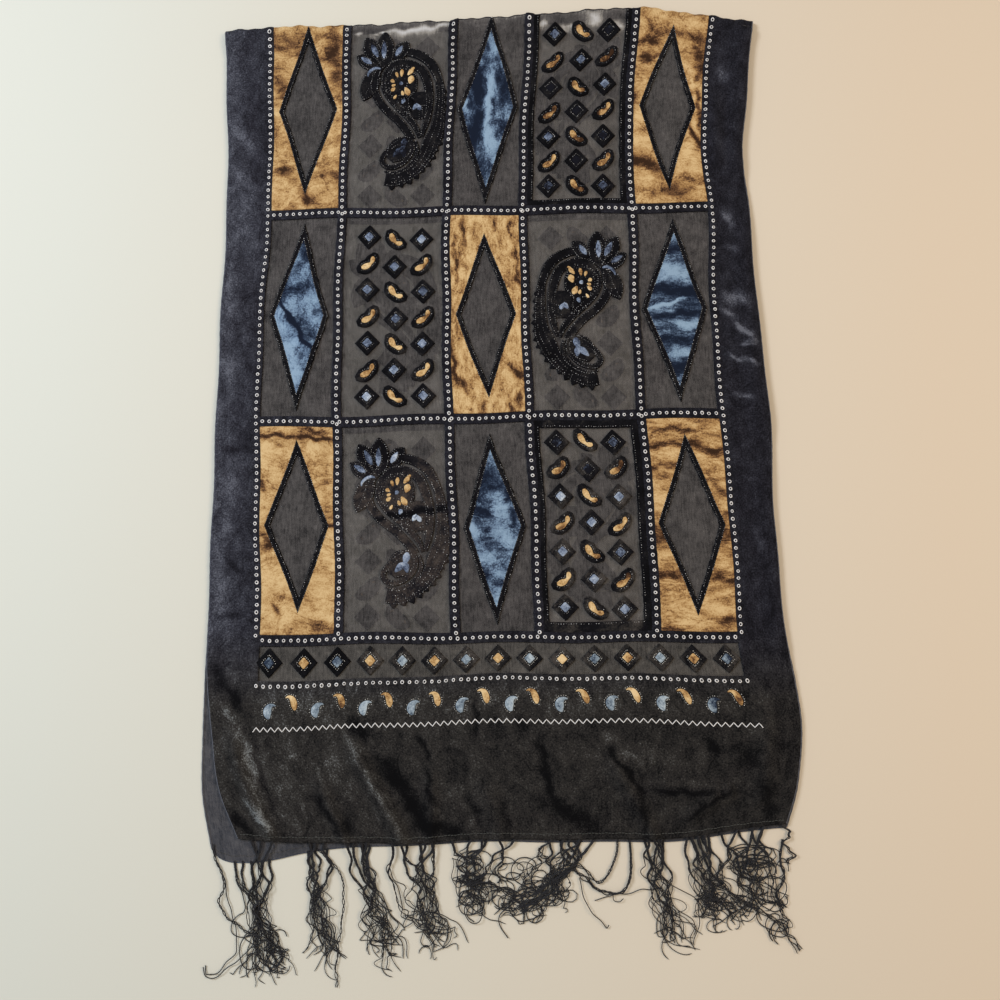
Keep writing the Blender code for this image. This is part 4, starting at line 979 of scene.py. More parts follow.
#       x and y of the base, x and y of the tip, width
GOLD_PETALS = ((-11.4, -43.4, -5.9, -37.2, 4.4), (-0.9, -43.2, 0.1, -35.7, 3.7),
               (5.1, -40.4, 3.6, -35.0, 3.1), (-10.6, -37.0, -7.6, -28.9, 6.2),
               (-7.6, -17.6, -3.4, -25.9, 5.8), (-1.8, -17.8, -0.4, -22.4, 3.3),
               (7.4, -14.3, 4.8, -18.4, 2.7), (10.2, -22.0, 6.0, -25.4, 3.8), (9.6, -26.8, 5.6, -28.3, 3.0),
               (10.2, -33.0, 6.7, -30.4, 3.8), (-13.0, -44.6, -9.0, -43.0, 2.4))
BLUE_BITS = ((-0.8, -31.0, 1.6, -27.6, 4.0), (-3.2, -14.6, -0.8, -9.8, 4.0),
             (-19.6, -3.4, -16.0, -9.4, 4.4), (-16.4, -9.6, -11.8, -4.0, 4.6),
             (-17.0, -8.2, -14.0, -7.6, 5.0),
             (-7.0, 22.6, -4.2, 34.6, 6.6), (-4.8, 31.6, -6.8, 41.4, 6.0), (-4.2, 32.0, 4.6, 40.8, 6.2))


def paisley(black, gold, pale, mu, mv, flip, away, tall):
    """The bands and the fan first, then pads, crown, petals and sprigs, each a ribbon; a row of
    pin dots runs along both sides of every band and leaf. tall stretches it along the cloth."""
    def put(points):
        return turned(np.asarray(points, float) * (1, tall), mu, mv, 0.0, flip, away)

    def edged(path, widths, samples, top):
        lines = ribbon(black, put(path), widths, top, samples=samples)
        if away > 0:
            dots_beside(lines, 2.2, -1.0)
        return lines

    def leaf(bag, x0, y0, x1, y1, widths, *layer):
        a, b = np.array((x0, y0)), np.array((x1, y1))
        return ribbon(bag, put([a, (a + b) / 2, b]), widths, *layer)

    for k, (path, widths) in enumerate(BANDS):
        edged(path, widths, 49, PILE_H + 0.02 * k)
    lines = edged(FAN, FAN_W, 77, 1.9)
    left, right = np.stack(lines[:2], axis=-1), np.stack(lines[2:], axis=-1)
    middle = np.array((mu - flip * 20, mv))
    away_left = np.hypot(*(left[50] - middle)) > np.hypot(*(right[50] - middle))
    outer, inner = (left, right) if away_left else (right, left)
    for k in range(12, 76, 4):
        side = outer[k] - inner[k]
        out = outer[k] + side / np.hypot(*side) * (1.2 + 0.03 * k + 0.7 * np.sin(2.1 * k))
        ribbon(black, [inner[k] * 0.4 + outer[k] * 0.6, outer[k], out], (7.4, 7.2, 1.2), 1.94, samples=7)
    if away > 0:
        for share in (0.30, 0.62):
            dots_on(*(outer * (1 - share) + inner * share)[8:-3].T, 2.3)
        for k in range(46, 74, 4):
            dots_on(*np.stack([inner[k] * 0.5 + outer[k] * 0.5, outer[k]], axis=-1), 2.3)
    for start, end, widths in PADS:
        start, end = np.array(start, float), np.array(end, float)
        edged([start, (start + end) / 2, end], widths, 21, 1.95)
    for base, tip, width, core in CROWN:
        base, tip = np.array(base, float), np.array(tip, float)
        edged([base, (base + tip) / 2, tip], np.array((0.5, 0.92, 1.0, 0.8, 0.1)) * width, 17, 2.08)
        if core:
            w = core[2]
            lines = leaf(pale, *core[0], *core[1], (0.8, w, 0.9 * w, 0.4), 2.4, 1.8, 11)
            if away > 0:
                dots_beside(lines, 2.0, 0.9)
        elif away > 0:
            dots_on(*put([base, base * 0.1 + tip * 0.9]).T, 2.0)
    for bag, bits in ((gold, GOLD_PETALS), (pale, BLUE_BITS)):
        for *ends, w in bits:
            leaf(bag, *ends, (1.4, w, w * 0.8, 1.0), 2.4, 1.75, 9)
    ribbon(pale, put([(19.6, -43.4), (23, -44.6), (27.6, -43.4), (31.6, -39.6), (32.2, -36)]),
           (1.4, 2.8, 3.0, 2.6, 1.0), 2.5, 1.75, 13)
    if away > 0:
        for radius in (6.0, 14.6):
            ring = np.stack(loop_round(0.6, -29.4, radius, radius, 2.0, 40), axis=-1)
            dots_on(*put(ring).T, 2.6, closed=True)
        for x in (-24, -21, -9, -5, 0, 4):
            dots_on(*put([(x, -8), (x + 3, -3 + 0.2 * x), (x + 2, 2 - 0.3 * x)]).T, 2.2)


for half, row, col, kind in fields:
    if kind != "paisley":
        continue
    u0, u1, v0, v1 = field_box(half, row, col)
    away = -1.0 if half else 1.0
    bags = BAGS[1] if half else (worn_bag if row == 2 else motif_bag, gold_bag, pale_bag)
    du, dv, tall = ((2.1, 1.4, 1.076), (1.4, 3.2, 1.0), (2.8, -0.6, 1.036))[row] if half == 0 else (0, 0, 1)
    paisley(*bags, (u0 + u1) / 2 + du, (v0 + v1) / 2 + dv, -1.0 if col == 1 else 1.0, away, tall)
print("paisleys drawn")

# %% [markdown]
# ## The two strips above the end band
# First comes a sheer strip of small diamonds, blue and gold in turn. Below the ring stitches, the
# velvet is whole again and carries small drops, blue ones leaning one way and gold ones the other.

# %% Diamonds and drops
BLUE_DROP = np.array(((-0.4, 7.2), (-2.0, 3.2), (-2.4, -1.0), (-0.4, -4.6), (3.0, -6.2), (6.2, -5.4)))
BLUE_DROP_W = (2.0, 7.2, 9.0, 7.2, 3.4, 0.6)
GOLD_DROP = np.array(((-6.4, -5.2), (-3.2, -6.4), (0.4, -4.8), (2.6, -0.8), (3.8, 3.6), (4.2, 7.2)))
GOLD_DROP_W = (0.7, 3.0, 5.6, 6.6, 6.2, 1.8)
strip_u0, strip_u1 = 43.5, 464.5
STRIP_DIAMONDS, DROP_PAIRS, DROP_PITCH = 15, 10, 42.3
for half in (0, 1):
    away = -1.0 if half else 1.0
    black, gold, blue = BAGS[half]
    for k in range(STRIP_DIAMONDS):
        share = (k + 0.5) / STRIP_DIAMONDS
        mu = strip_u0 + 3 + (strip_u1 - strip_u0 - 6) * share
        if not half:
            mu += 0.6 * max(0, k - 8) - 6.5 * 0.55 ** k
        mv = -615.5 if half else 611.6 + 1.2 * np.sin(np.pi * share)
        small_diamond(black, gold if k % 2 else blue, mu + 10 * half, mv, 15.0 if half else DIAMOND_HALF,
                      away, pale=True)
    for k in range(DROP_PAIRS):
        for drop, widths, bag, du, dv in ((BLUE_DROP, BLUE_DROP_W, blue, 2.2 - 0.045 * k * k, 4.4),
                                          (GOLD_DROP, GOLD_DROP_W, gold, 20.6 - 0.45 * k, -2.2)):
            mu = 54.0 + DROP_PITCH * k + du
            mv = away * (648.0 + dv - 2.4 + 2.0 * np.sin(np.pi * (k + 0.5) / DROP_PAIRS)) - 4 * half
            path = turned(drop * 0.86, mu, mv, away=away)
            lines = ribbon(bag, path, 0.84 * np.array(widths), 2.45, 1.85, 15)
            if away > 0:
                dots_beside(lines, 1.7, 1.12, height=2.3, pale=True)
print("strips drawn")

# %% How the motifs lean: painted sheen and shade of their pile
MOTIF_SHEEN_ALONG = ((0, 200, 300, 420, 440, 590, 600, 660), (-0.12, -0.10, 0.0, 0.04, 0.12, 0.19, 0.22, 0.22))


def motif_painted_sheen(u, v):
    """Painted sheen and shade of the small black motifs: higher up they are dark; lower down their pile
    leans over and is painted lighter, as brown as the ground, though less in the frame of the lowest bean
    field and at the strip's start. Waves of 4 to 20 mm paint one side of a motif darker than the other."""
    waves = 0.10 * np.sin(u / 4.1 + v / 6.3) + 0.10 * np.sin(u / 13 - v / 17 + 1)
    lower = smooth_table(*MOTIF_SHEEN_ALONG, v)
    lower = lower - np.where((v > 600) & (u < 128), 0.35, 0.0)
    lower = lower - np.where((v > 396) & (v < 596) & (np.abs(u - 342.1) > 39.5), 0.22, 0.0)
    return np.where((u > 290) | (v > 600) | ((u < 217) & (v > 200)), lower + waves, 0.0)


make_piece("black_motifs", motif_bag, [motif_velvet], nodes_named("paisley_r"), nap=motif_painted_sheen)
# Middles painted darker, or lighter where the amount is positive, as the shade and sheen of their pile:
# strokes of lean.
MIDDLES_SHEEN_AND_SHADE = (
    (368, 23, 8, 8, 0, -0.20), (315, 77, 8, 8, 0, -0.55), (342, 103, 8, 8, 0, -0.45),
    (342, 152, 8, 8, 0, -0.50), (368, 128, 8, 8, 0, -0.14), (315, 175, 8, 8, 0, -0.12),
    (368, 176, 8, 8, 0, -0.18), (342, 54, 8, 8, 0, 0.12), (371, 45, 6, 5, 45, -0.55),
    (367, 152, 10, 8, 45, -0.25), (361, 106, 4, 5, 45, -0.35), (338, 71, 6, 5, 45, -0.22),
    (342, 100, 52, 120, 90, -0.08), (314, 519, 8, 8, 0, 0.35), (340, 543, 8, 8, 0, 0.35),
    (340, 445, 8, 8, 0, -0.35), (340, 495, 8, 8, 0, 0.12), (369, 439, 6, 6, 45, -0.50),
    (369, 540, 5, 5, 45, -0.45), (54, 612, 8, 8, 0, -0.32), (84, 612, 8, 8, 0, -0.22),
    (114, 612, 8, 8, 0, -0.30), (118, 646, 5, 4, 70, -0.60), (79, 646, 4, 6, 70, -0.30),
    (461, 612, 9, 8, 0, -0.60), (437, 652, 9, 9, 0, -0.45), (316, 652, 4, 6, 0, 0.05))
LAVENDERS = ((0.12, "#14151d"), (0.35, "#465064"), (0.55, "#77859c"), (0.75, "#9ba8bb"), (0.95, "#d0dae2"))
core_gold = velvet("gold_velvet_small", GOLDS + ((0.99, "#e8cd9e"),), 8, vary=1.9, crack=0.12,
                   sheen_colour=GOLD_SHEEN)
core_blue = velvet("blue_velvet_small", (
    (0.3, "#263042"), (0.45, "#4c5a6c"), (0.56, "#73828f"), (0.7, "#8898a5"), (0.95, "#b4c2cb")), 8,
    vary=1.7, crack=0.1, sheen_colour=BLUE_SHEEN)
lavender = velvet("lavender_velvet", LAVENDERS, 9, vary=1.5, crack=0.1)
worn_velvet = velvet("worn_black_velvet", (
    (0.10, "#0b0b0f"), (0.34, "#1d1c20"), (0.52, "#35302e"), (0.72, "#4b4440"), (0.95, "#6b625b")), 12,
    vary=1.1, crack=0.1)


def gold_painted_sheen(u, v):
    """Painted sheen and shade of the small gold pile: lighter in the strips, darker in the upper bean field,
    with waves of 20 mm and more.
    """
    base = 0.16 + 0.05 * (v > 600) - 0.15 * ((u > 290) & (v < 200))
    waves = 0.13 * np.sin(u / 4 + v / 7) + 0.10 * np.sin(u / 23 - v / 11)
    return base + waves + strokes_at(u, v, MIDDLES_SHEEN_AND_SHADE)


# Painted sheen and shade of the small blue pile.
def blue_painted_sheen(u, v):
    return 0.24 + 0.10 * np.sin(u / 21 + 1) + strokes_at(u, v, MIDDLES_SHEEN_AND_SHADE)


def lavender_painted_sheen(u, v):
    """Painted sheen and shade of the lavender pile: darker in the upper row and at the top of the lowest
    bean field, lighter in the worn paisley.
    """
    base = np.where(v < 200, -0.12, 0.02) + np.where((u > 290) & (v > 396) & (v < 450), -0.10, 0)
    base = base + np.where((u < 217) & (v > 396), 0.10, 0)
    waves = 0.14 * np.sin(u / 9 + v / 13) + 0.10 * np.sin(u / 31 - v / 17)
    return base + waves + strokes_at(u, v, MIDDLES_SHEEN_AND_SHADE)


def worn_paisley_painted_shade(u, v):
    """The lower paisley is worn: its fibres are rubbed down to a brownish grey. Over that it is painted
    darker at the crown and at the tip of the small drop, and painted shade runs along the crease that
    crosses it."""
    return strokes_at(u, v, ((152, 424, 34, 22, 10, -0.5), (152, 512, 20, 8, 10, -0.5),
                             (190, 562, 16, 10, -35, -0.35), (185, 482, 42, 2.6, -9, -0.8),
                             (206, 440, 12, 4, 20, -0.3)))


for name, bag, material, nap in (
        ("gold_motif_centres", gold_bag, core_gold, gold_painted_sheen),
        ("blue_motif_centres", blue_bag, core_blue, blue_painted_sheen),
        ("worn_paisley", worn_bag, worn_velvet, worn_paisley_painted_shade),
        ("lavender_paisley_centres", pale_bag, lavender, lavender_painted_sheen),
        ("black_motifs_under", under_motif_bag, motif_velvet, None),
        ("gold_motif_centres_under", under_core_gold, core_gold, None),
        ("blue_motif_centres_under", under_core_blue, core_blue, None)):
    make_piece(name, bag, [material], nap=nap)

# %% [markdown]
# ## Thread: rings, zigzag, hem and pin dots
# The white rings along the pattern lines are small eyelets of chain stitch, under four millimetres
# across, a hand's breadth holding sixteen. Each is a ring of thread, pressed a little flat and turned
# a little differently, as hand work is. The zigzag and the hem are runs of thread.

# %% Thread material and rings


def thread(name, colour, twist_mm=0.5, sheen=0.3, dim=0.62, span=(0.35, 0.65)):
    """Cotton or silk thread: a fine noise the size of its twist for colour and relief. Its colour runs
    from dim times the colour to the full colour while the noise runs over span."""
    material, tree, output = new_material(name)
    spot = add_node(tree, "ShaderNodeTexCoord").outputs["Object"]
    fibres = noise_at(tree, spot, twist_mm, 2.0)
    base = np.array(linear(colour)[:3])
    ramp = add_node(tree, "ShaderNodeValToRGB", links={"Fac": fibres})
    for element, position, shade in zip(ramp.color_ramp.elements, span, (base * dim, base * 1.12)):
        element.position = position
        element.color = (*np.minimum(shade, 1.0), 1.0)
    close_material(tree, output, {"Roughness": 0.6, "Sheen Weight": sheen},
                   {"Base Color": ramp.outputs["Color"], "Normal": bump(tree, fibres, 0.4, 0.0002)})
    return material


white_thread = thread("white_embroidery_thread", "#fbfaf6", sheen=0.0)
# The two pin-dot threads: a noise of 1.6 mm, larger than a dot, gives each dot its own brightness, painted
# glints of the shiny thread.
dot_thread_glints = thread("pin_dot_thread", "#ffffff", 1.6, sheen=0.0, dim=0.10, span=(0.48, 0.69))
pale_dot_thread_glints = thread("pin_dot_thread_pale", "#f4f2ea", 1.6, sheen=0.0, dim=0.30, span=(0.36, 0.56))
black_yarn = thread("black_fringe_yarn", "#17181f", 0.7, sheen=0.03)
edge_thread = thread("dark_edge_thread", "#50545f", 0.8, sheen=0.1)


def rings(places, sides, tube_sides, top, seed):
    """Points = centre + (R + r cos b)(cos a, sin a) across, r sin b up; R is 1.2 mm and r 0.4 mm,
    each a little different, and r swells by a sixth somewhere round the ring."""
    noise = np.random.default_rng(seed)
    n = len(places)
    a = 2 * np.pi * np.arange(sides) / sides
    b = 2 * np.pi * np.arange(tube_sides) / tube_sides
    big = noise.uniform(1.12, 1.34, n)[:, None, None]
    tube = noise.uniform(0.35, 0.48, n)[:, None, None]
    tube = tube * (1 + 0.18 * np.sin(a + noise.uniform(0, 6, n)[:, None]))[:, :, None]
    wide = noise.uniform(0.92, 1.08, n)[:, None, None]
    radius = big + tube * np.cos(b)
    U = places[:, 0, None, None] + radius * np.cos(a)[None, :, None] * wide
    V = places[:, 1, None, None] + radius * np.sin(a)[None, :, None] / wide
    H = top + 0.2 + tube * 0.5 * np.sin(b)[None, None, :]
    points = place(U, V, np.broadcast_to(H, U.shape))
    faces = for_each_copy(grid_faces(sides, tube_sides, True, True), n, sides * tube_sides)
    bag = new_bag()
    add_points(bag, points, faces, np.stack([U.ravel(), V.ravel()], axis=-1) * MM)
    return bag


def ring_line(u0, v0, u1, v1, pitch, noise):
    """Places every pitch millimetres, wandering by up to 0.3 mm."""
    count = int(np.hypot(u1 - u0, v1 - v0) / pitch)
    t = (np.arange(count) + 0.5) / count
    places = np.stack([u0 + (u1 - u0) * t, v0 + (v1 - v0) * t], axis=-1)
    return places + noise.uniform(-0.3, 0.3, places.shape)


PITCH_ALONG, PITCH_ACROSS = 6.55, 6.3
STRIP_DEPTH = 36.0      # from the last pattern line to the line of rings below the strip
noise = np.random.default_rng(3)
#    piece, pattern lines, side, start of the long lines, points round a ring and its thread, height
for label, rows, sign, start, size in (("front", FRONT_ROWS, 1, 4.0, (12, 5, 1.95)),
                                       ("under", UNDER_ROWS, -1, -5.0, (8, 4, 1.4))):
    last, below = rows[3], rows[3] + sign * STRIP_DEPTH
    lines = [ring_line(u, start, u, last - sign, PITCH_ALONG, noise) for u in COLUMN_LINES]
    lines += [ring_line(BORDER + 3, row, WIDTH - BORDER - 3, row, PITCH_ACROSS, noise) for row in rows[1:]]
    lines.append(ring_line(BORDER - 1, below, WIDTH - BORDER + 1, below, PITCH_ACROSS, noise))
    places = np.concatenate(lines)
    make_piece(f"stitched_rings_{label}", rings(places, *size, seed=5), [white_thread])
    print("rings", label, len(places))

# %% [markdown]
# A tube is a small circle carried along a path. The circle's frame is one direction level with the
# table and one straight across it, which is enough for thread and yarn that lie nearly flat.

# %% Tubes along many paths at once


def tubes(paths, radii, sides):
    """paths is (count, steps, 3) in metres and radii (count, steps). Points = path + r (cos b across +
    sin b up), where across is level and square to the path."""
    ahead = np.gradient(paths, axis=1)
    ahead /= np.linalg.norm(ahead, axis=2, keepdims=True) + 1e-12
    across = np.stack([-ahead[..., 1], ahead[..., 0], np.zeros_like(ahead[..., 0])], axis=-1)
    across /= np.linalg.norm(across, axis=2, keepdims=True) + 1e-12
    up = np.cross(across, ahead)
    b = 2 * np.pi * np.arange(sides) / sides
    ring = across[:, :, None] * np.cos(b)[:, None] - up[:, :, None] * np.sin(b)[:, None]
    points = (paths[:, :, None] + ring * radii[:, :, None, None]).reshape(-1, 3)
    count, steps = paths.shape[:2]
    faces = for_each_copy(grid_faces(steps, sides, close_cols=True)[:, ::-1], count, steps * sides)
    bag = new_bag()
    add_points(bag, points, faces, points[:, :2])
    return bag


# The zigzag: one thread that goes to and fro 65 times and swings 1.9 mm to each side.
ZIGS, SWING = 65, 1.9
for label, line, sign, height in (("front", 666.0, 1, 2.35), ("under", -671.0, -1, 1.6)):
    t = np.linspace(0, 2 * ZIGS, 8 * ZIGS + 1)
    swing = 4 * np.abs((t / 2) % 1 - 0.5) - 1
    u = BORDER + t * (WIDTH - 2 * BORDER + 2) / (2 * ZIGS)
    middle = line - sign * 2.0 * np.clip(1 - u / 100, 0, 1)
    path = place(u, middle + SWING * swing, height)[None]
    make_piece(f"zigzag_{label}", tubes(path, np.full(path.shape[:2], 0.41 * MM), 6), [white_thread])

# The hem: lockstitches 2.2 mm long, 3 mm apart, 4.8 mm in from the edge.
STITCH, STITCH_PITCH, HEM_IN = 2.2, 3.0, 4.8
for label, sign, height in (("front", 1, 2.02), ("under", -1, 1.45)):
    start = np.arange(4, WIDTH - 5, STITCH_PITCH)
    s = np.linspace(0, 1, 5)
    u = start[:, None] + STITCH * s
    v = sign * (HALF - HEM_IN + 0.25 * np.sin(start / 2.1))[:, None]
    path = place(u, v, height + 0.35 * np.sin(np.pi * s)).reshape(*u.shape, 3)
    make_piece(f"hem_stitches_{label}", tubes(path, np.full(path.shape[:2], 0.28 * MM), 5),
               [thread(f"hem_thread_{label}", "#494b47", sheen=0.0)])

# The long edges: the cloth is rolled over once to the wrong side, a roll 1.4 mm thick.
v = np.linspace(-HALF + 1, HALF - 1, 500)
path = np.stack([place(np.full_like(v, u), v, np.full_like(v, 1.1)) for u in (0.2, WIDTH - 0.2)])
wave = 0.0007 + 0.00012 * np.sin(v / 1.7)[None] * np.ones((2, 1))
make_piece("rolled_edges", tubes(path, wave, 6), [edge_thread])

# %% Pin dots as flat beads
for row, col in DIAMONDS:
    mv, b, a = DIAMONDS[(row, col)]
    mu = (COLUMN_LINES[col] + COLUMN_LINES[col + 1]) / 2
    for inward in (0.9, LINE_W - 0.9):
        k = 1 - inward * np.hypot(a, b) / (a * b)
        dots_on([mu, mu + a * k, mu, mu - a * k], [mv - b * k, mv, mv + b * k, mv], 1.8, 2.2, closed=True)
BEAD_SIZE = (0.42, 0.42, 0.28)
bead = np.array(((1, 0, 0), (0, 1, 0), (-1, 0, 0), (0, -1, 0), (0, 0, 1), (0, 0, -0.6))) * BEAD_SIZE
bead_faces = np.array(((0, 1, 4), (1, 2, 4), (2, 3, 4), (3, 0, 4),
                       (1, 0, 5), (2, 1, 5), (3, 2, 5), (0, 3, 5)))
for name, places, material in (("pin_dot_stitches", dot_places, dot_thread_glints),
                               ("pin_dot_stitches_pale", pale_places, pale_dot_thread_glints)):
    dots = np.concatenate(places)
    dots = dots + dot_rng.uniform(-0.26, 0.26, dots.shape) * (1, 1, 0.2)
    where = dots[:, None] + bead[None]
    beads = place(where[..., 0], where[..., 1], where[..., 2])
    faces = for_each_copy(bead_faces[:, ::-1], len(dots), len(bead))
    dot_bag = new_bag()
    add_points(dot_bag, beads, faces, where.reshape(-1, 3)[:, :2] * MM)
    make_piece(name, dot_bag, [material])
    print("pin dots", len(dots))

# %% [markdown]
# ## The fringe
# The fringe is black yarn, twisted into cords at the hem and left loose below. It has been worn, so
# the cords have drawn together into bundles and the loose ends curl and tangle. Each strand runs from
# its root to its bundle's waist and on to the tips, and a slow curl that grows along it makes the
# tangle. Four strands twist round each other near the root, as in a cord.

# %% Bundles of strands
#  half  root from, to (u)  cords  waist x, y    tip x, y   spread curl
BUNDLES = np.array((
    (1,  16,  50,  5, -201, -446, -194, -488, 18, 12),
    (1,  70,  98,  3, -154, -430, -144, -480, 13, 11),
    (1, 118, 134,  2, -102, -440,  -94, -474, 12, 11),
    (1, 150, 190,  3,  -62, -432,  -48, -474, 16, 12),
    (1, 210, 268,  1,  -22, -412,  -12, -434, 34, 15),
    (1, 290, 330,  2,   50, -412,   36, -436, 28, 15),
    (1, 372, 398,  2,  140, -430,  150, -462, 10, 11),
    (1, 416, 436,  3,  180, -424,  192, -448, 14, 13),
    (1, 450, 492,  2,  212, -412,  222, -442, 18, 12),
    (0,   6,  36,  3, -200, -448, -192, -486, 16, 13),
    (0,  60,  84,  3, -152, -432, -143, -478, 10, 11),
    (0,  99, 123,  4,  -99, -438,  -89, -474, 13, 11),
    (0, 137, 158,  2,  -72, -434,  -58, -468, 12, 12),
    (0, 172, 186,  2,  -52, -432,  -42, -472, 12, 11),
    (0, 196, 262,  5,  -14, -412,   -8, -436, 36, 14),
    (0, 280, 322,  5,   40, -416,   20, -448, 38, 14),
    (0, 376, 394,  4,  138, -426,  151, -466, 11, 11),
    (0, 412, 432,  4,  176, -424,  193, -448, 16, 13),
    (0, 442, 492,  4,  208, -416,  218, -448, 20, 12),
    (0, 470, 480,  1,  232, -430,  240, -460,  4,  8),
    (0, 502, 506,  1,  243, -394,  243, -404,  3,  2)), float)
STEPS, PER_CORD, WAIST_AT, TWISTS = 60, 4, 0.55, 8
LOWEST_Y, YARN_LOW, YARN_HIGH = -503.0, 0.45, 9.0       # the room that the yarn keeps to


def strands(rows, seed):
    """A cord at t = root + (waist - root) over the first 55 % + (tip - waist) over the rest, with two
    waves. Its strands wind round it with a radius of 0.8 mm, then each leaves, half way down or
    near it, on turning waves of its own that grow with t, and ends in a hook."""
    noise = np.random.default_rng(seed)
    paths, radii = [], []
    t = np.linspace(0, 1, STEPS)
    for half, u_from, u_to, cords, wx, wy, tx, ty, spread, curl in rows:
        cords = int(cords)
        n = cords * PER_CORD
        sign = -1 if half else 1
        root_u = u_from + (u_to - u_from) * (np.arange(cords) + noise.uniform(0.2, 0.8, cords)) / cords
        root = place(root_u, sign * (HALF - 1.5), np.full(cords, 0.9)) / MM
        way = (np.clip(t / WAIST_AT, 0, 1), np.clip((t - WAIST_AT) / (1 - WAIST_AT), 0, 1))
        waist_x = wx + noise.normal(0, 0.30 * spread, cords)
        tip_x = tx + noise.normal(0, 0.45 * spread, cords)
        waist_y, tip_y = wy + noise.normal(0, 4, cords), ty + noise.normal(0, 7, cords)
        cord_x = (root[:, :1] + (waist_x[:, None] - root[:, :1]) * way[0] ** 1.25
                  + (tip_x - waist_x)[:, None] * way[1])
        cord_y = (root[:, 1:2] + (waist_y[:, None] - root[:, 1:2]) * way[0]
                  + (tip_y - waist_y)[:, None] * way[1])
        pace, phase = noise.uniform(1.2, 2.4, (cords, 1)), noise.uniform(0, 2 * np.pi, (cords, 1))
        wave = np.sin(phase + 2 * np.pi * pace * t) - np.sin(phase)
        cord_x = cord_x + 3.6 * wave * np.clip(t / 0.2, 0, 1)
        cord_x = cord_x + 1.5 * np.sin(3 * phase + 2 * np.pi * 2.6 * pace * t) * np.clip(t / 0.25, 0, 1)
        x, y = np.repeat(cord_x, PER_CORD, axis=0), np.repeat(cord_y, PER_CORD, axis=0)
        leaves = np.where(noise.uniform(size=(n, 1)) < 0.25, 0.14, noise.uniform(0.30, 0.56, (n, 1)))
        own = curl * np.clip((t - leaves) / 0.44, 0, 1) ** 0.9
        y = y + noise.uniform(-0.3, 0.5, (n, 1)) * own
        x = x + noise.normal(0, 0.44, (n, 1)) * own
        hook = np.clip((t - 0.88) / 0.12, 0, 1) ** 2
        x = x + noise.choice((-1, 1), (n, 1)) * noise.uniform(2, 7, (n, 1)) * hook
        y = y + noise.uniform(-1, 4, (n, 1)) * hook
        loops = np.interp(curl, (11, 15), (1.3, 2.0))
        for turns, share in ((loops, 0.46), (2.3 * loops, 0.26), (4.6 * loops, 0.08)):
            start = noise.uniform(0, 2 * np.pi, (n, 1))
            swing = noise.choice((-1, 1), (n, 1)) * 2 * np.pi * turns * noise.uniform(0.7, 1.35, (n, 1)) * t
            size = share * own * noise.uniform(0.5, 1.4, (n, 1))
            x = x + size * np.cos(start + swing)
            y = y + size * np.sin(start + swing)
        twist = 0.82 * np.clip(1 - t / 0.56, 0, 1) ** 0.3
        lane = 2 * np.pi * (np.arange(n) % PER_CORD)[:, None] / PER_CORD
        around = lane + 2 * np.pi * TWISTS * t
        x = x + twist * np.cos(around)
        rest = 0.8 + noise.uniform(0.0, 3.4, (n, 1)) * np.sin(np.pi * t) ** 0.8
        start_z = np.repeat(root[:, 2:3], PER_CORD, axis=0)
        z = start_z + (rest - start_z) * np.clip(t / 0.25, 0, 1) + 0.6 * twist * np.sin(around)
        y = np.maximum(y, LOWEST_Y + 2.0 * np.sin(9 * t + lane))
        paths.append(np.stack([x, y, np.clip(z, YARN_LOW, YARN_HIGH)], axis=-1) * MM)
        thick = (0.95 + 0.35 * np.clip(1 - t / 0.4, 0, 1)) * np.where(t > 0.985, 0.5, 1.0)
        radii.append(np.broadcast_to(thick, (n, STEPS)) * noise.uniform(0.31, 0.43, (n, 1)) * MM)
    return np.concatenate(paths), np.concatenate(radii)


def spring(x, y, across, down, turns, drift_x, drift_y):
    """Points of a strand curled like a flat spring, ten to a turn, that drifts as it turns."""
    a = np.linspace(0, 2 * np.pi * turns, int(10 * turns))
    size = 0.75 + 0.25 * np.sin(a / 2.7 + x)
    return np.stack([x + across * size * np.cos(a) + drift_x * a / a[-1],
                     y + down * size * np.sin(a) + drift_y * a / a[-1]], axis=-1)


